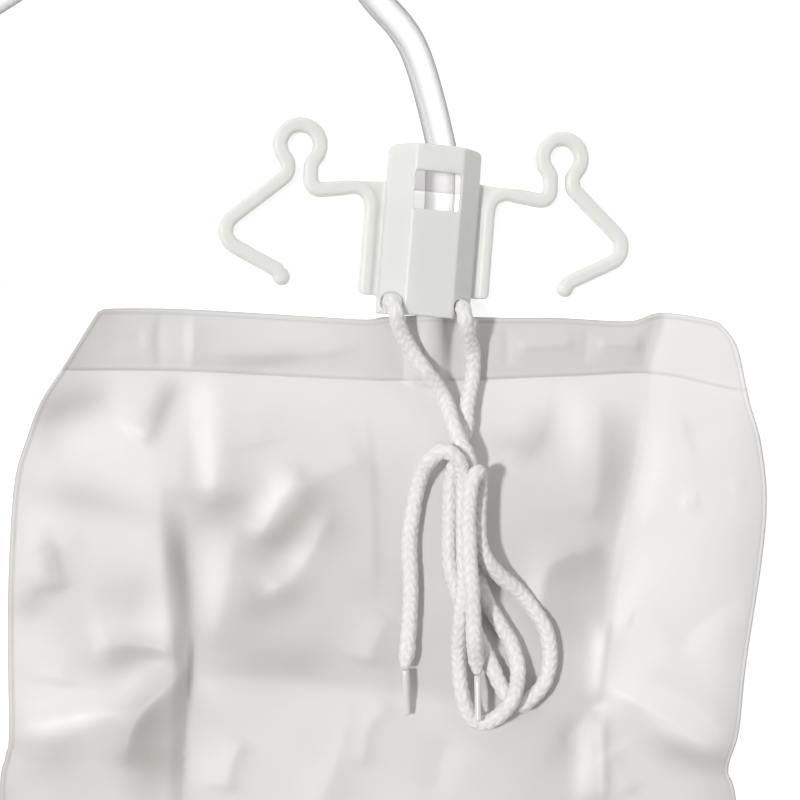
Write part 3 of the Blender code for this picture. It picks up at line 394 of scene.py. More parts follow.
weld_y = band_weld(film_x)
low_y = bottom_weld(film_x)
from_top = top_edge(film_x) - film_y
from_bottom = film_y - bottom_edge(film_x)
from_left = film_x - left_edge(film_y)
from_right = right_edge(film_y) - film_x
past_right_crease = film_x - right_crease(film_y)
above_crease = film_y - cross_crease(film_x)
to_rim = np.minimum(np.minimum(from_left, from_right), np.minimum(from_top, from_bottom))
in_band = film_y > weld_y
filled = film_rise(from_left) * film_rise(from_right)
waves = np.zeros_like(film_x)
for length, heading, height in WAVES:
    turned = film_x * math.cos(math.radians(heading)) + film_y * math.sin(math.radians(heading))
    bend = np.sin(math.tau * film_x / (WAVE_BEND_LENGTH * length * MM))
    bent = turned + WAVE_BEND * length * MM * bend
    waves += height * MM * np.sin(math.tau * bent / (length * MM))
panel_width = right_edge(film_y) - right_crease(film_y) - PANEL_LIFT_STOPS
panel_lift = PANEL_LIFT * np.clip(past_right_crease / panel_width, 0.0, 1.0)
from_cords = np.hypot(film_x - CORD_REST.x, film_y - CORD_REST.y)
cord_lift = CORD_LIFT * np.exp(-(from_cords / CORD_REST_REACH) ** 2)
pouch = filled * film_rise(weld_y - film_y) * film_rise(film_y - low_y) * (
    POUCH_HEIGHT + waves + panel_lift + cord_lift + fold_field(film_x, film_y, POUCH_FOLDS))
band_share = np.clip(from_top / np.clip(top_edge(film_x) - weld_y, MM, None), 0.0, 1.0)
band = filled * np.sin(math.pi * band_share) ** BAND_ROUND * (
    BAND_PUFF + BAND_WAVES * waves + fold_field(film_x, film_y, BAND_FOLDS))
film_z = FILM_THICKNESS + np.where(in_band, band, np.where(film_y < low_y, 0.0, pouch))
for distance in (to_rim - RIM_BEAD_IN, film_y - weld_y - MM, film_y - low_y + MM):
    film_z += WELD_BEAD * np.exp(-(distance / WELD_BEAD_WIDTH) ** 2)
film_z = np.maximum.reduce([
    film_z, port_bulge(film_x, from_top, PORT_X, PORT_RADIUS, PORT_HEIGHT),
    port_bulge(film_x, from_bottom, OUTLET_X, OUTLET_PORT_RADIUS, OUTLET_HEIGHT)])

# Where the weld lines run, with a painted dark outline along the film's very edge; and the
# film's painted tone: greyer as painted shade, clearer as painted light, for its folds and slopes
seam_marks = np.maximum.reduce([
    line_mark(to_rim), RIM_LINE_DARK * line_mark(to_rim - RIM_LINE_IN),
    TOP_WELD_DARK * line_mark(film_y - weld_y - TOP_WELD_IN),
    BOTTOM_WELD_DARK * line_mark(film_y - low_y)])
# Lighter parts of the film's tone: painted light on the left panel and under the weld
right_panel = ease((past_right_crease + 0.7 * MM) / (2.4 * MM)) * (
    RIGHT_PANEL_LIGHTER + RIGHT_PANEL_LIGHTER_HIGH * ease((above_crease + 4 * MM) / (36 * MM)))
left_panel = LEFT_PANEL_PAINTED_LIGHT * ease((left_crease(film_y) + 3 * MM - film_x) / (10 * MM)) * (
    ease((above_crease + 3 * MM) / (10 * MM)) * ~in_band)
under_weld = UNDER_WELD_PAINTED_LIGHT * ease(1.0 - (weld_y - film_y) / (48 * MM)) * ~in_band
low_middle = LOW_MIDDLE_LIGHTER * ease(-above_crease / (5 * MM)) * (
    ease((film_y + 60 * MM) / (60 * MM)) * ease((45 * MM - film_x) / (30 * MM))
    * (film_x > left_crease(film_y)))
band_middle = BAND_MIDDLE_LIGHTER * np.exp(-((film_x - BAND_MIDDLE_X) / BAND_MIDDLE_REACH) ** 2)
air_between = 1.0 - np.maximum.reduce([right_panel, left_panel, under_weld, low_middle,
                                       band_middle * in_band])
air_between += RIM_GREYING * np.exp(-(from_left / RIM_GREYING_REACH) ** 2)
# Painted shade and painted light along the strokes
strokes = [(line, width, width, amount) for line, width, amount in PAINTED_SHADE_STROKES]
air_between += fold_field(film_x, film_y, strokes, crispness=2.0, run_out=0.45) / MM
air_between = np.clip(air_between, 0.0, PAINTED_SHADING_MOST)
# A painted shadow darkens the slit of the tuck along the left crease
tuck = ease((film_y - TUCK_LOW) / TUCK_ENDS) * ease((TUCK_HIGH - film_y) / TUCK_ENDS)
tuck *= np.exp(-((film_x - left_crease(film_y)) / TUCK_WIDTH) ** 2)
seam_marks += TUCK_SHADOW_DARK * tuck


# A finish is one Principled shader. Wire wraps a socket, so that shader maths reads
# as sums, and node adds any other node with its settings and its inputs.
class Wire:
    def __init__(self, tree, socket):
        self.tree = tree
        self.socket = socket

    def join(self, operation, first, second):
        node = self.tree.nodes.new("ShaderNodeMath")
        node.operation = operation
        for place, value in zip(node.inputs, (first, second)):
            if isinstance(value, Wire):
                self.tree.links.new(value.socket, place)
            else:
                place.default_value = value
        return Wire(self.tree, node.outputs[0])

    def __add__(self, other):
        return self.join("ADD", self, other)

    def __radd__(self, other):
        return self.join("ADD", other, self)

    def __mul__(self, other):
        return self.join("MULTIPLY", self, other)

    def __rmul__(self, other):
        return self.join("MULTIPLY", other, self)


class Finish:
    def __init__(self, name, **fixed):
        self.material = bpy.data.materials.new(name)
        self.material.use_nodes = True
        self.tree = self.material.node_tree
        self.shader = self.tree.nodes["Principled BSDF"]
        for socket, value in fixed.items():
            self.shader.inputs[socket.replace("_", " ")].default_value = value

    def drive(self, socket, wire):
        self.tree.links.new(wire.socket, self.shader.inputs[socket])

    def node(self, kind, inputs=None, output=0, **settings):
        node = self.tree.nodes.new("ShaderNode" + kind)
        for name, value in settings.items():
            setattr(node, name, value)
        for name, value in (inputs or {}).items():
            socket = node.inputs[name]
            if isinstance(value, Wire):
                self.tree.links.new(value.socket, socket)
            elif socket.type == "RGBA":
                socket.default_value = (*value, 1.0)
            else:
                socket.default_value = value
        return Wire(self.tree, node.outputs[output])

    def noise(self, scale, detail=3.0, stretch=(1.0, 1.0, 1.0)):
        place = self.node("TexCoord", output=3)
        where = self.node("Mapping", {"Vector": place, "Scale": stretch})
        return self.node("TexNoise", {"Vector": where, "Scale": scale, "Detail": detail})

    def marks(self, name):
        return self.node("Attribute", output=2, attribute_name=name, attribute_type="GEOMETRY")

    def blend(self, factor, first, second):
        return self.node("Mix", {0: factor, 6: first, 7: second}, output=2, data_type="RGBA")

    def mottle(self, first, second, grain, detail=3.0, stretch=(1.0, 1.0, 1.0)):
        """A colour that drifts between two near shades."""
        self.drive("Base Color", self.blend(self.noise(grain, detail, stretch), first, second))

    def rough(self, least, most, grain, detail=3.0):
        """A gloss that drifts between two near values."""
        self.drive("Roughness", least + self.noise(grain, detail) * (most - least))

    def bump(self, height, strength, distance):
        self.drive("Normal", self.node("Bump", {"Height": height, "Strength": strength,
                                                "Distance": distance}))


def mark_points(mesh, name, values):
    attribute = mesh.attributes.new(name, "FLOAT", "POINT")
    attribute.data.foreach_set("value", np.asarray(values, dtype=np.float32).ravel())


def new_piece(name, verts, faces, finish, **marks):
    """A mesh made in code as a named, smooth piece, with its marks for the finish."""
    mesh = bpy.data.meshes.new(name)
    mesh.from_pydata(verts, [], faces)
    bm = bmesh.new()
    bm.from_mesh(mesh)
    bmesh.ops.recalc_face_normals(bm, faces=bm.faces)
    bm.to_mesh(mesh)
    bm.free()
    for mark, values in marks.items():
        mark_points(mesh, mark, values)
    mesh.shade_smooth()
    mesh.materials.append(finish.material)
    return new_object(name, mesh)


film = Finish("film", IOR=1.5, Specular_IOR_Level=0.42)
haze = film.noise(45.0, 4.0)
# The film's colour takes painted shade and painted light from its tone marks
film_air = film.marks("air") * 0.5 + haze * 0.114
film_tone = film.blend(film_air, FILM_PALE, FILM_GREY)
# The seam marks darken the weld lines and paint the rim's dark outline and the tuck's shadow
film.drive("Base Color", film.blend(film.marks("seam") * 0.55, film_tone, FILM_LINES))
film.rough(0.40, 0.58, grain=90.0)
film.bump(film.noise(420.0, 2.0), 0.2, 0.1 * MM)

film_index = np.arange(film_z.size).reshape(film_z.shape)
film_faces = np.stack([film_index[:-1, :-1], film_index[1:, :-1], film_index[1:, 1:],
                       film_index[:-1, 1:]], axis=-1).reshape(-1, 4).tolist()
border = [*film_index[0], *film_index[1:, -1], *film_index[-1, -2::-1], *film_index[-2:0:-1, 0]]
film_verts = np.stack([film_x, film_y, film_z], axis=-1).reshape(-1, 3)
back_verts = film_verts[border] * (1.0, 1.0, 0.0)
back = len(film_verts)
film_faces += [(border[i], border[(i + 1) % len(border)], back + (i + 1) % len(border), back + i)
               for i in range(len(border))]
film_faces.append(tuple(range(back, back + len(border))))
film_piece = new_piece(
    "film_bag_skin", np.concatenate([film_verts, back_verts]).tolist(), film_faces, film,
    seam=np.concatenate([seam_marks.ravel(), np.ones(len(border))]),
    air=np.concatenate([air_between.ravel(), np.full(len(border), 0.5)]))
film_piece.data.set_sharp_from_angle(angle=math.radians(55))
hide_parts("film_bag")
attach(film_piece, "bag")


# Hanger: one injection moulding in off-white polypropylene, with a satin face and
# soft mould edges. The tube runs through its channel, and its hooks take a bed rail.
MOULD_GRAIN = 0.38 * MM
MOULD_ROUNDS = 12
CHANNEL_X = 10.9 * MM
CHANNEL_HALF = 10.0 * MM
STRAP_TOP = 2.0 * MM
STRAP_Y = 197.9 * MM
STRAP_REACH = 3.2 * MM
STRAP_SLOPE = 0.08
PAINTED_GLOW_COLOUR = (0.36, 0.35, 0.37)
BLACK = (0.0, 0.0, 0.0)

moulding = Finish("moulding", Subsurface_Weight=0.5, Subsurface_Radius=(1.0, 1.0, 0.9),
                  Subsurface_Scale=5.0 * MM, Emission_Strength=1.0)
moulding.mottle((0.79, 0.79, 0.75), (0.82, 0.82, 0.78), grain=60.0)
moulding.rough(0.34, 0.50, grain=200.0)
moulding.bump(moulding.noise(1500.0, 2.0), 0.1, 0.04 * MM)
# A painted glow lights the inside of the channel
moulding.drive("Emission Color", moulding.blend(moulding.marks("painted_glow"), BLACK, PAINTED_GLOW_COLOUR))


def select_only(piece):
    bpy.ops.object.select_all(action="DESELECT")
    piece.select_set(True)
    bpy.context.view_layer.objects.active = piece


def copy_node(node_name, piece_name):
    """A copy of a CAD node, its loose triangles merged into flat faces."""
    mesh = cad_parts[node_name].data.copy()
    mesh.name = piece_name
    piece = new_object(piece_name, mesh)
    select_only(piece)
    bpy.ops.object.mode_set(mode="EDIT")
    bpy.ops.mesh.select_all(action="SELECT")
    bpy.ops.mesh.remove_doubles(threshold=0.004 * MM)
    bpy.ops.mesh.dissolve_limited(angle_limit=math.radians(1.5))
    bpy.ops.object.mode_set(mode="OBJECT")
    return piece


def soften(piece, edge, finish, corner_deg=28):
    """Round off a moulded piece's edges and give it its finish."""
    bevel = piece.modifiers.new("mould edges", "BEVEL")
    bevel.width = edge
    bevel.segments = 3
    bevel.limit_method = "ANGLE"
    bevel.angle_limit = math.radians(corner_deg)
    select_only(piece)
    bpy.ops.object.modifier_apply(modifier=bevel.name)
    bpy.ops.object.shade_smooth_by_angle(angle=math.radians(30))
    piece.data.materials.clear()
    piece.data.materials.append(finish.material)


hanger_piece = copy_node("hanger", "hanger_moulding")
fused = hanger_piece.modifiers.new("one moulding", "REMESH")
fused.mode = "VOXEL"
fused.voxel_size = MOULD_GRAIN
rounded = hanger_piece.modifiers.new("mould edges", "SMOOTH")
rounded.factor = 0.5
rounded.iterations = MOULD_ROUNDS
select_only(hanger_piece)
bpy.ops.object.modifier_apply(modifier=fused.name)
bpy.ops.object.modifier_apply(modifier=rounded.name)
bpy.ops.object.shade_smooth()
hanger_piece.data.materials.clear()
hanger_piece.data.materials.append(moulding.material)
# Inside the channel the moulding glows with painted light for the light that comes through the
# plastic, and the strap fills the window's top
painted_glow = []
for vert in hanger_piece.data.vertices:
    in_channel = abs(vert.co.x - CHANNEL_X) < CHANNEL_HALF and vert.co.z < STRAP_TOP
    painted_glow.append(1.0 if in_channel else 0.0)
    strap_middle = STRAP_Y - STRAP_SLOPE * (vert.co.x - CHANNEL_X)
    if in_channel and strap_middle < vert.co.y < strap_middle + STRAP_REACH:
        vert.co.y += STRAP_REACH
mark_points(hanger_piece.data, "painted_glow", painted_glow)
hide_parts("hanger")
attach(hanger_piece, "bag")


# Inlet tube: about a metre of clear PVC tube, 9 mm outside and 6.5 mm inside. It
# comes out of the bag's port, runs through the hanger and is wound up beside the bag.
TUBE_RADIUS = 4.5 * MM
TUBE_WALL = 1.25 * MM
TUBE_HEIGHT = 4.8 * MM
TUBE_LIFT = 6.2 * MM
TUBE_STEP = 1.5 * MM
TUBE_SIDES = 32
COIL_CENTRE = Vector((-166.3 * MM, 167.4 * MM, 0.0))
COIL_RADIUS = 45.0 * MM
COIL_TURNS = 2
COIL_STEPS = 240
CONNECTOR_HEIGHT = 6.3 * MM
TAIL_LEAVES = math.radians(191)
STRAIGHT_STEPS = 10
CLIMB_STARTS = 0.6 * math.tau
CLIMB_TAKES = 0.4 * math.tau
LAYER_GAP = 0.1 * MM
SIDE_GAP = 0.9 * MM
IN_HANGER_X = -10.0 * MM
IN_HANGER_Y = 207.0 * MM
INNER_WALL_SHOWS = 0.06


def even_points(curve, spacing):
    """Points at even distances along a fine curve, as an array, both ends kept."""
    fine = np.array([tuple(p) for p in curve])
    steps = np.linalg.norm(np.diff(fine, axis=0), axis=1)
    run = np.concatenate(([0.0], np.cumsum(steps)))
    count = max(2, round(run[-1] / spacing))
    places = np.linspace(0.0, run[-1], count + 1)
    return np.stack([np.interp(places, run, fine[:, i]) for i in range(3)], axis=1)


def rings_along(points, radii, sides):
    """Rings of places round a line, turned as little as they can be from one to the next."""
    ahead = np.gradient(points, axis=0)
    ahead /= np.linalg.norm(ahead, axis=1)[:, None]
    side = np.zeros_like(points)
    up = np.array([0.0, 0.0, 1.0]) if abs(ahead[0, 2]) < 0.8 else np.array([0.0, 1.0, 0.0])
    side[0] = np.cross(ahead[0], up)
    side[0] /= np.linalg.norm(side[0])
    for i in range(1, len(points)):
        carried = side[i - 1] - ahead[i] * (side[i - 1] @ ahead[i])
        side[i] = carried / np.linalg.norm(carried)
    above = np.cross(side, ahead)
    angle = np.arange(sides) / sides * math.tau
    out = (np.cos(angle)[None, :, None] * side[:, None, :]
           + np.sin(angle)[None, :, None] * above[:, None, :])
    return points[:, None, :] + radii[..., None] * out


def skin_faces(count, sides, hollow):
    """Faces over rings: a hollow piece's last ring meets its first, a solid one has end caps."""
    index = np.arange(count * sides).reshape(count, sides)
    here, following = (index, np.roll(index, -1, axis=0)) if hollow else (index[:-1], index[1:])
    corners = [here, np.roll(here, -1, axis=1), np.roll(following, -1, axis=1), following]
    faces = np.stack(corners, axis=-1).reshape(-1, 4).tolist()
    return faces if hollow else faces + [index[0].tolist(), index[-1].tolist()]


def ring_point(angle, radius, height):
    return COIL_CENTRE + Vector((radius * math.cos(angle), radius * math.sin(angle), height))


table_z = TUBE_HEIGHT / MM
strap_z = TUBE_LIFT / MM
tube_route = [(9.6, 156.7, table_z), (10.9, 172.0, table_z + 0.9), (12.3, 190.0, strap_z),
              (12.6, 200.1, strap_z), (12.8, 208.8, strap_z), (4.9, 237.3, table_z + 0.3),
              (-6.3, 251.8, table_z), (-15.9, 262.0, table_z), (-32.3, 271.2, table_z),
              (-53.1, 274.6, table_z), (-76.5, 270.2, table_z), (-99.6, 260.7, table_z),
              (-119.1, 248.2, table_z)]
tube_line = smooth_curve([Vector(point) * MM for point in tube_route], CURVE_STEPS)
offset = (tube_line[-1] - COIL_CENTRE).xy
meeting = math.atan2(offset.y, offset.x) + math.acos(COIL_RADIUS / offset.length)
straight_end = ring_point(meeting, COIL_RADIUS, TUBE_HEIGHT)
tube_line += [tube_line[-1].lerp(straight_end, k / STRAIGHT_STEPS)
              for k in range(1, STRAIGHT_STEPS)]

# The second turn climbs on the first, and the tail steps down beside the coil
layer = 2 * TUBE_RADIUS + LAYER_GAP
coil_sweep = math.tau * COIL_TURNS
leaving_sweep = TAIL_LEAVES + coil_sweep - meeting
step_out = 2 * TUBE_RADIUS + SIDE_GAP
for k in range(COIL_STEPS + 1):
    swept = leaving_sweep * k / COIL_STEPS
    over = float(ease((swept - CLIMB_STARTS) / CLIMB_TAKES))
    off = float(ease((swept - coil_sweep) / (leaving_sweep - coil_sweep)))
    tube_line.append(ring_point(meeting + swept, COIL_RADIUS + step_out * off,
                                TUBE_HEIGHT + layer * (over - off)))
leaving = tube_line[-1].xy.to_3d()
tail_steps = [(0.0, 0.0, table_z), (-0.4, -10.0, table_z), (0.6, -24.0, table_z + 0.6),
              (3.0, -38.0, CONNECTOR_HEIGHT / MM)]
tail_line = smooth_curve([leaving + Vector(step) * MM for step in tail_steps], CURVE_STEPS)
tube_line += tail_line[1:]
tube_points = even_points(tube_line, TUBE_STEP)

clear_pvc = Finish("clear_tube", Specular_IOR_Level=0.14)
# The clear tube's grey colour, shown most where it is seen edge-on, is painted shade for its dark
# edges
clear_pvc.mottle((0.34, 0.335, 0.325), (0.39, 0.385, 0.375), grain=60.0, detail=2.0)
clear_pvc.rough(0.26, 0.36, grain=120.0, detail=2.0)
edge_on = clear_pvc.node("LayerWeight", {"Blend": 0.5}, output=1)
tube_opacity = 0.05 + edge_on * 0.8 + edge_on * edge_on * 0.3
clear_pvc.drive("Alpha", clear_pvc.marks("outer") * tube_opacity)

# In the hanger's window the tube is made half as opaque, so that its grey shows less in the
# channel's shade: painted light
in_hanger = (tube_points[:, 0] > IN_HANGER_X) & (tube_points[:, 1] < IN_HANGER_Y)
tube_shows = np.repeat(np.where(in_hanger, 0.5, 1.0), TUBE_SIDES)
outer_radii = np.full((len(tube_points), 1), TUBE_RADIUS)
tube_rings = np.concatenate([
    rings_along(tube_points, outer_radii, TUBE_SIDES),
    rings_along(tube_points, outer_radii - TUBE_WALL, TUBE_SIDES)[::-1]])
inlet_piece = new_piece("inlet_tubing", tube_rings.reshape(-1, 3).tolist(),
                        skin_faces(len(tube_rings), TUBE_SIDES, True), clear_pvc,
                        outer=np.concatenate([tube_shows, INNER_WALL_SHOWS * tube_shows]))
inlet_piece.data.set_sharp_from_angle(angle=math.radians(50))
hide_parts("inlet_tube", "inlet_tube_coil", "inlet_tube_tail")
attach(inlet_piece, "bag")


# Connector and cap: a stepped white fitting pushed on the tube's end, whose taper goes
# into the catheter, and a ribbed cap of tinted plastic that pulls off along it.
BARREL_RADIUS = 6.0 * MM
BARREL_LENGTH = 15.0 * MM
COLLAR_RADIUS = 4.6 * MM
COLLAR_LENGTH = 5.0 * MM
TAPER_WIDE = 3.9 * MM
TAPER_TIP = 2.7 * MM
TAPER_LENGTH = 32.0 * MM
CONNECTOR_BORE = 1.7 * MM
CAP_RADIUS = 5.7 * MM
CAP_LENGTH = 36.0 * MM
CAP_END = 2.0 * MM
PIECE_GAP = 0.3 * MM
SMALL_EDGE = 0.2 * MM
RIB_DEPTH = 0.4 * MM
RIB_FLANK = 0.12 * MM
TURNED_SIDES = 36


def turned_piece(name, profile):
    """A circle drawn out along +Z through (distance along, radius)."""
    bpy.ops.mesh.primitive_circle_add(vertices=TURNED_SIDES, radius=profile[0][1])
    piece = bpy.context.active_object
    piece.name = name
    bpy.ops.object.mode_set(mode="EDIT")
    bpy.ops.mesh.select_all(action="SELECT")
    bpy.ops.transform.translate(value=(0.0, 0.0, profile[0][0]))
    for (along, radius), (next_along, next_radius) in zip(profile, profile[1:]):
        move = (0.0, 0.0, next_along - along)
        bpy.ops.mesh.extrude_edges_move(TRANSFORM_OT_translate={"value": move})
        grow = next_radius / radius
        bpy.ops.transform.resize(value=(grow, grow, 1.0), center_override=(0.0, 0.0, next_along))
    bpy.ops.mesh.select_all(action="SELECT")
    bpy.ops.mesh.remove_doubles(threshold=0.01 * MM)
    bpy.ops.mesh.fill_holes(sides=0)
    bpy.ops.mesh.normals_make_consistent(inside=False)
    bpy.ops.object.mode_set(mode="OBJECT")
    return piece


def press_flutes(piece, low, high, depth):
    """Press every other face of one band of a turned piece in, which leaves ribs."""
    select_only(piece)
    bpy.ops.object.mode_set(mode="EDIT")
    bpy.ops.mesh.select_mode(type="FACE")
    bpy.ops.mesh.select_all(action="DESELECT")
    bm = bmesh.from_edit_mesh(piece.data)
    for face in bm.faces:
        middle = face.calc_center_median()
        outward = face.normal.x * middle.x + face.normal.y * middle.y
        place = math.atan2(middle.y, middle.x) / math.tau * TURNED_SIDES - 0.5
        on_side = abs(face.normal.z) < 0.3 and outward > 0
        if low < middle.z < high and on_side and round(place) % 2 == 0:
            face.select_set(True)
    bmesh.update_edit_mesh(piece.data)
    bpy.ops.mesh.inset(thickness=RIB_FLANK, depth=-depth, use_individual=True)
    bpy.ops.object.mode_set(mode="OBJECT")


def lay_along(piece, start, heading):
    """Lay a turned piece along a heading from its start, with its place in its mesh."""
    turn = Vector((0, 0, 1)).rotation_difference(heading).to_matrix().to_4x4()
    piece.matrix_world = Matrix.Translation(start) @ turn
    select_only(piece)
    bpy.ops.object.transform_apply()


tail_heading = (tail_line[-1] - tail_line[-4]).xy.to_3d().normalized()
fitting_start = tail_line[-1] + tail_heading * (2 * PIECE_GAP)
fitting_start.z = CONNECTOR_HEIGHT
neck = BARREL_LENGTH + COLLAR_LENGTH
tip = neck + TAPER_LENGTH
fitting_piece = turned_piece("catheter_fitting", [
    (0.0, CONNECTOR_BORE), (0.0, BARREL_RADIUS - MM), (MM, BARREL_RADIUS),
    (BARREL_LENGTH - 1.2 * MM, BARREL_RADIUS), (BARREL_LENGTH, BARREL_RADIUS - 1.2 * MM),
    (BARREL_LENGTH, COLLAR_RADIUS), (neck, COLLAR_RADIUS), (neck + 0.5 * MM, TAPER_WIDE),
    (tip - 0.5 * MM, TAPER_TIP), (tip, TAPER_TIP - 0.5 * MM), (tip, CONNECTOR_BORE),
    (0.0, CONNECTOR_BORE)])
press_flutes(fitting_piece, 2 * MM, BARREL_LENGTH - 2 * MM, RIB_DEPTH)
fitting_white = Finish("fitting_white", Specular_IOR_Level=0.5)
fitting_white.mottle((0.82, 0.83, 0.83), (0.87, 0.88, 0.88), grain=80.0)
fitting_white.rough(0.28, 0.42, grain=260.0)
soften(fitting_piece, SMALL_EDGE, fitting_white)
lay_along(fitting_piece, fitting_start, tail_heading)
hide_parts("catheter_connector")
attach(fitting_piece, "bag")

cap_piece = turned_piece("fitting_cap", [
    (CAP_LENGTH - CAP_END, TAPER_TIP + PIECE_GAP), (0.0, TAPER_WIDE + PIECE_GAP),
    (0.0, CAP_RADIUS - 0.6 * MM), (0.6 * MM, CAP_RADIUS), (3.4 * MM, CAP_RADIUS),
    (4.2 * MM, CAP_RADIUS - 0.8 * MM), (CAP_LENGTH - 1.5 * MM, CAP_RADIUS - 1.2 * MM),
    (CAP_LENGTH, CAP_RADIUS - 2.7 * MM)])
press_flutes(cap_piece, 5 * MM, CAP_LENGTH - 2 * MM, 0.8 * RIB_DEPTH)
cap_blue = Finish("cap_blue", Transmission_Weight=0.25, IOR=1.5)
cap_blue.mottle((0.60, 0.73, 0.84), (0.68, 0.79, 0.88), grain=90.0)
cap_blue.rough(0.20, 0.32, grain=240.0)
soften(cap_piece, SMALL_EDGE, cap_blue)
lay_along(cap_piece, fitting_start + tail_heading * (neck + 0.5 * MM), tail_heading)
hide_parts("connector_cap")
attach(cap_piece, "cap")


# Tie cord: a soft white round braid of just under 5 mm. It comes out of the hanger's two
# holes, is tied in one bow, and its two cut ends hang down with clear tips on them.
CORD_RADIUS = 2.35 * MM
STITCH_LENGTH = 2.9 * MM
STITCH_COLUMNS = 3
STITCH_DEPTH = 0.27 * MM
STITCH_SLANT = 0.8
CORD_STEP = 0.3 * MM
CORD_SIDES = 42
HOLE_SWELL = 0.27
HOLE_SWELL_LENGTH = 8.0 * MM
CUT_END = 0.46
CUT_TAPER = 3.6 * MM
CROWN_MIDDLE = 0.75
SWELL = 0.025
SWELL_LENGTH = 4.7 * MM
# The stitches wander a little: by how much, over what length, and by column or not
WANDERS = [(0.2, 3.1 * MM, 0.0), (0.16, 1.3 * MM, 2.0 * math.tau)]
CORD_SHADES = (0.77, 0.76, 0.73), (0.90, 0.895, 0.87)

hole_left = [(-2.6, 161.9, 4.9), (-2.6, 161.9, 8.0), (-2.5, 161.6, 11.3), (-2.2, 159.1, 13.9),
             (-1.5, 155.9, 13.0), (0.7, 151.6, 11.0)]
neck_left = [(4.0, 146.5, 9.9), (7.3, 141.8, 9.7), (11.3, 137.1, 7.7), (14.4, 131.7, 7.5)]
under_knot = [(15.2, 126.5, 11.9), (16.8, 121.5, 13.2), (19.4, 116.5, 12.9), (21.0, 111.0, 10.7),
              (21.3, 104.6, 9.0)]
inner_loop = [(21.3, 97.2, 9.2), (21.9, 88.9, 9.4), (23.4, 80.2, 9.4), (26.4, 72.4, 9.5),
              (30.1, 66.1, 9.6), (33.7, 59.8, 9.6), (35.2, 51.9, 11.4), (32.5, 44.9, 16.5),
              (29.1, 39.6, 14.0), (24.9, 36.9, 10.9), (20.8, 39.0, 10.3), (18.1, 46.9, 10.8),
              (17.3, 58.1, 10.5), (17.1, 69.2, 14.4), (18.0, 79.2, 15.0), (18.1, 90.1, 14.4),
              (18.1, 100.4, 13.9)]
over_knot = [(17.9, 106.9, 14.3), (17.4, 111.6, 15.8), (15.2, 116.0, 17.3), (11.4, 117.8, 16.6),
             (8.0, 115.0, 13.7)]
tail_left = [(6.2, 111.0, 10.6), (4.6, 103.9, 9.0), (2.7, 91.4, 9.3), (3.1, 76.9, 9.5),
             (2.3, 62.5, 9.7), (1.2, 53.7, 10.4)]
hole_right = [(18.6, 160.2, 4.9), (18.6, 160.2, 8.0), (18.5, 159.9, 11.3), (18.6, 157.4, 13.9),
              (19.3, 154.2, 12.7), (20.9, 150.6, 9.2)]
neck_right = [(22.6, 146.9, 6.3), (22.8, 140.1, 4.5), (21.6, 135.0, 5.5), (20.6, 129.9, 6.7)]
through_knot = [(20.3, 124.6, 7.2), (18.2, 119.0, 7.8), (16.3, 113.0, 8.6), (15.3, 107.0, 8.9)]
outer_loop = [(15.1, 101.7, 9.1), (14.8, 89.8, 9.3), (15.4, 82.4, 9.4), (17.3, 75.8, 9.5),
              (20.0, 69.6, 9.5), (23.4, 62.4, 9.6), (26.7, 55.5, 9.9), (29.9, 48.3, 10.4),
              (32.9, 43.9, 10.7), (36.2, 42.0, 10.8), (39.9, 44.3, 10.6), (43.8, 48.9, 10.0),
              (45.4, 56.0, 9.6), (44.2, 63.8, 9.5), (40.5, 70.1, 9.5), (35.9, 75.6, 9.5),
              (29.0, 81.2, 12.0), (24.9, 85.8, 14.2), (23.0, 90.8, 14.6), (22.6, 96.8, 14.3)]
knot_turn = [(22.7, 100.5, 14.1), (22.9, 106.0, 14.0), (22.6, 110.2, 15.4), (21.4, 111.6, 18.3),
             (19.3, 108.2, 19.6)]
tail_middle = [(18.5, 99.2, 19.0), (18.6, 92.4, 19.1), (18.8, 85.4, 19.5), (19.5, 77.2, 19.8),
               (20.2, 68.8, 18.2), (20.6, 61.7, 17.6), (21.8, 56.1, 14.5), (22.4, 52.0, 13.6)]

braid = Finish("tie_cord", Specular_IOR_Level=0.2, Sheen_Weight=0.2, Sheen_Roughness=0.5)
fuzz = braid.noise(1400.0)
# The braid's colour is darker away from its stitches' crowns: painted shade in the grooves
braid.drive("Base Color", braid.blend(braid.marks("crown") * 0.85 + fuzz * 0.15, *CORD_SHADES))
braid.drive("Roughness", 0.75 + fuzz * 0.2)
braid.bump(fuzz, 0.7, 0.3 * MM)

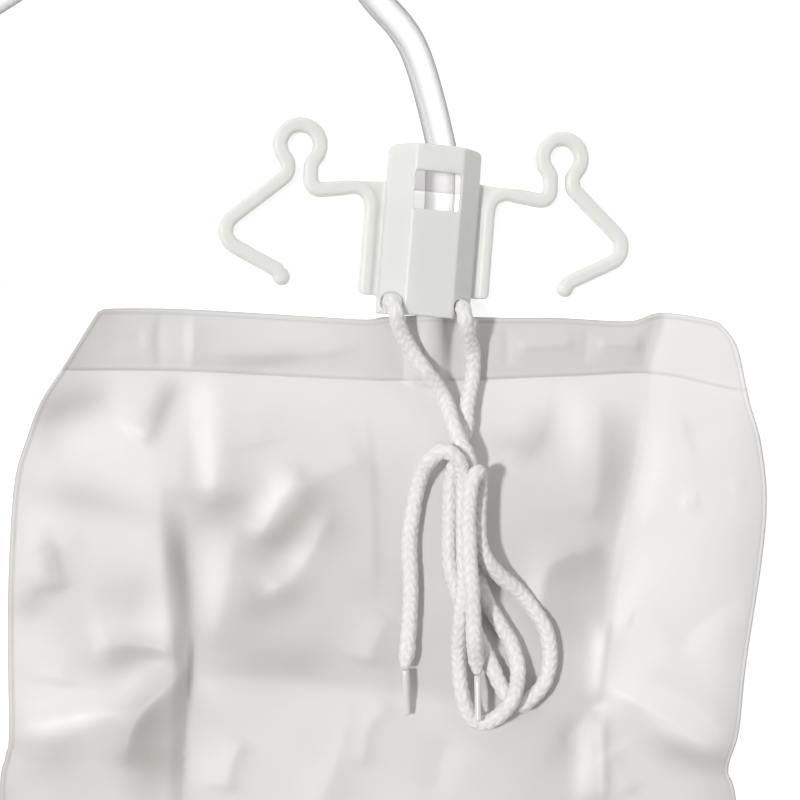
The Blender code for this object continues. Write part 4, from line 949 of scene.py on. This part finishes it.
cords = {}
for cord_side, route in (
        ("left", hole_left + neck_left + under_knot + inner_loop + over_knot + tail_left),
        ("right", hole_right + neck_right + through_knot + outer_loop + knot_turn + tail_middle)):
    cord_line = smooth_curve([Vector(p) * MM for p in route], CURVE_STEPS)
    cord_points = even_points(cord_line, CORD_STEP)
    column = np.arange(CORD_SIDES)[None, :] / CORD_SIDES * STITCH_COLUMNS + 0.25
    across = np.abs((column % 1.0) * 2.0 - 1.0)
    run = np.arange(len(cord_points))[:, None] * CORD_STEP
    wander = sum(size * np.sin(run / length + turn * column) for size, length, turn in WANDERS)
    arm = 0.5 + 0.5 * np.cos(math.tau * (run / STITCH_LENGTH + across * STITCH_SLANT + wander))
    crown = arm ** 0.7 * np.sin(math.pi * np.clip(across, 0.04, 0.96)) ** 0.5
    to_cut = np.minimum(run, run[-1] - run)
    cut_round = CUT_END + (1.0 - CUT_END) * np.clip(to_cut / CUT_TAPER, 0.0, 1.0) ** 0.7
    plump = (1.0 + SWELL * np.sin(run / SWELL_LENGTH)
             + HOLE_SWELL * (1.0 - ease(run / HOLE_SWELL_LENGTH)))
    cord_radii = (CORD_RADIUS * plump + STITCH_DEPTH * (crown - CROWN_MIDDLE)) * cut_round
    cord_rings = rings_along(cord_points, cord_radii, CORD_SIDES)
    cord_piece = new_piece("tie_braid_" + cord_side, cord_rings.reshape(-1, 3).tolist(),
                           skin_faces(len(cord_rings), CORD_SIDES, False), braid, crown=crown)
    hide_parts("tie_cord_" + cord_side)
    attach(cord_piece, "bag")
    cords[cord_side] = cord_piece, cord_points


# Cord tips: a thin clear plastic sleeve crimped on each cut end, so that the braid
# doesn't fray and goes through the holes.
TIP_RADIUS = 1.05 * MM
TIP_LENGTH = 13.5 * MM
TIP_POINTS = {"left": Vector((1.9, 40.4, 9.4)) * MM, "right": Vector((22.3, 38.7, 14.9)) * MM}
TIP_EDGE = 0.1 * MM

tip_plastic = Finish("cord_tip", IOR=1.5)
tip_plastic.mottle((0.62, 0.62, 0.60), (0.84, 0.84, 0.82), grain=500.0, stretch=(1.0, 0.15, 1.0))
tip_plastic.rough(0.16, 0.28, grain=300.0)
for cord_side, (cord_piece, cord_points) in cords.items():
    tip_piece = turned_piece("cord_tip_" + cord_side, [
        (0.0, 0.9 * TIP_RADIUS), (0.3 * MM, TIP_RADIUS), (2.4 * MM, TIP_RADIUS),
        (3.0 * MM, 0.94 * TIP_RADIUS), (TIP_LENGTH - 0.4 * MM, 0.94 * TIP_RADIUS),
        (TIP_LENGTH, 0.7 * TIP_RADIUS)])
    soften(tip_piece, TIP_EDGE, tip_plastic)
    cut_end = Vector(cord_points[-1])
    tip_heading = (TIP_POINTS[cord_side] - cut_end).normalized()
    lay_along(tip_piece, cut_end + tip_heading * 2 * PIECE_GAP, tip_heading)
    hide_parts("aglet_" + cord_side)
    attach(tip_piece, "bag")


# Outlet tube: a short clear PVC tube welded between the films at the bottom of the bag.
# The tap's socket is pushed on its lower end.
OUTLET_RADIUS = 4.0 * MM
OUTLET_BORE = 2.5 * MM
OUTLET_LENGTH = 12.0 * MM

outlet_piece = turned_piece("drain_tube", [
    (0.0, OUTLET_BORE), (0.0, OUTLET_RADIUS), (OUTLET_LENGTH, OUTLET_RADIUS),
    (OUTLET_LENGTH, OUTLET_BORE), (0.0, OUTLET_BORE)])
soften(outlet_piece, SMALL_EDGE, clear_pvc)
wall_middle = (OUTLET_BORE + OUTLET_RADIUS) / 2
mark_points(outlet_piece.data, "outer", [
    1.0 if math.hypot(vert.co.x, vert.co.y) > wall_middle else INNER_WALL_SHOWS
    for vert in outlet_piece.data.vertices])
outlet_top = float(bottom_edge(OUTLET_X)) - PIECE_GAP
lay_along(outlet_piece, Vector((OUTLET_X, outlet_top, OUTLET_HEIGHT)), Vector((0.0, -1.0, 0.0)))
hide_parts("outlet_tube")
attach(outlet_piece, "bag")


# Tap: a white push-pull valve. A cross barrel carries the plunger, its socket takes the
# outlet tube, and its spout points down the bag.
tap_white = Finish("tap_white", Specular_IOR_Level=0.5)
tap_white.mottle((0.82, 0.83, 0.82), (0.87, 0.88, 0.87), grain=70.0)
tap_white.rough(0.30, 0.44, grain=240.0)
tap_white.bump(tap_white.noise(1300.0, 2.0), 0.1, 0.04 * MM)
tap_piece = copy_node("valve_body", "tap_body")
soften(tap_piece, SMALL_EDGE, tap_white, corner_deg=34)
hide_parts("valve_body")
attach(tap_piece, "bag")


# Plunger: a blue pin through the tap's barrel with a ribbed knob on each end. Pushed
# across, its narrow waist opens the way out of the bag.
TAP_BARREL_Y = -199.4 * MM
TAP_BARREL_HALF = 13.0 * MM
PLUNGER_RADIUS = 4.0 * MM
PLUNGER_WAIST = 2.3 * MM
PLUNGER_WAIST_HALF = 3.2 * MM
PLUNGER_STROKE = 8.0 * MM
KNOB_RADIUS = 5.6 * MM
KNOB_THICKNESS = 4.2 * MM
KNOB_EDGE = 0.8 * MM
PLUNGER_EDGE = 0.15 * MM


def knob(low, high):
    """Outline of a round knob between two places along the pin."""
    return [(low, KNOB_RADIUS - KNOB_EDGE), (low + KNOB_EDGE, KNOB_RADIUS),
            (high - KNOB_EDGE, KNOB_RADIUS), (high, KNOB_RADIUS - KNOB_EDGE)]


pin_right = TAP_BARREL_HALF + PIECE_GAP
pin_left = -TAP_BARREL_HALF - PIECE_GAP - PLUNGER_STROKE
waist_left = -PLUNGER_STROKE - PLUNGER_WAIST_HALF
waist_right = -PLUNGER_STROKE + PLUNGER_WAIST_HALF
waist_slope = (PLUNGER_RADIUS - PLUNGER_WAIST) / 2
knobs = [(pin_left - KNOB_THICKNESS, pin_left), (pin_right, pin_right + KNOB_THICKNESS)]
plunger_piece = turned_piece("tap_plunger", knob(*knobs[0]) + [
    (pin_left, PLUNGER_RADIUS), (waist_left, PLUNGER_RADIUS),
    (waist_left + waist_slope, PLUNGER_WAIST), (waist_right - waist_slope, PLUNGER_WAIST),
    (waist_right, PLUNGER_RADIUS), (pin_right, PLUNGER_RADIUS)] + knob(*knobs[1]))
for low, high in knobs:
    press_flutes(plunger_piece, low + KNOB_EDGE, high - KNOB_EDGE, RIB_DEPTH)
plunger_blue = Finish("plunger_blue", Specular_IOR_Level=0.5)
plunger_blue.mottle((0.26, 0.44, 0.66), (0.33, 0.52, 0.73), grain=90.0)
plunger_blue.rough(0.30, 0.44, grain=240.0)
soften(plunger_piece, PLUNGER_EDGE, plunger_blue)
lay_along(plunger_piece, Vector((OUTLET_X, TAP_BARREL_Y, OUTLET_HEIGHT)), Vector((1.0, 0.0, 0.0)))
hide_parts("valve_plunger")
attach(plunger_piece, "plunger")


# Table and light: a white table top, a lamp on the left that draws the cord's shadow,
# three broad weak ones beyond the hanger, on the right and on the left, and a pale
# room for the rest.
ROOM_STRENGTH = 0.19
# Each lamp's strength, the way to it along X and Y, its width and its height in degrees
LAMPS = {
    "key": (2.0, -1.0, 0.0, 5.0, 55.0),
    "top": (0.7, 0.0, 1.0, 60.0, 28.0),
    "side": (0.55, 1.0, 0.0, 60.0, 35.0),
    "left": (0.3, -1.0, 0.0, 60.0, 35.0),
}
TABLE_LIFT = 0.64

bpy.ops.mesh.primitive_plane_add(size=4.0, location=(0.0, 0.1, -0.2 * MM))
table = bpy.context.active_object
table.name = "table_top"
white = Finish("table_white", Base_Color=(0.8, 0.8, 0.8, 1.0), Roughness=0.9,
               Emission_Strength=1.0)
# Seen straight, in a gloss or through the clear tube, the table is lifted to pure white
white_seen = (white.node("LightPath") + white.node("LightPath", output=3)
              + white.node("LightPath", output=6))
white_lift = white.node("Math", {0: white_seen, 1: 1.0}, operation="MINIMUM") * TABLE_LIFT
white.drive("Emission Color", white.blend(white_lift, BLACK, (1.0, 1.0, 1.0)))
table.data.materials.append(white.material)

for name, (strength, along_x, along_y, width, height) in LAMPS.items():
    lamp = bpy.data.lights.new(name, "SUN")
    lamp.energy = strength
    lamp.angle = math.radians(width)
    level = math.cos(math.radians(height))
    toward = Vector((along_x * level, along_y * level, math.sin(math.radians(height))))
    new_object(name, lamp).rotation_euler = toward.to_track_quat("Z", "Y").to_euler()
room = bpy.data.worlds.new("room")
room.use_nodes = True
room_light = room.node_tree.nodes["Background"]
room_light.inputs["Color"].default_value = (1.0, 1.0, 1.0, 1.0)
room_light.inputs["Strength"].default_value = ROOM_STRENGTH
scene.world = room
scene.view_settings.view_transform = "Standard"
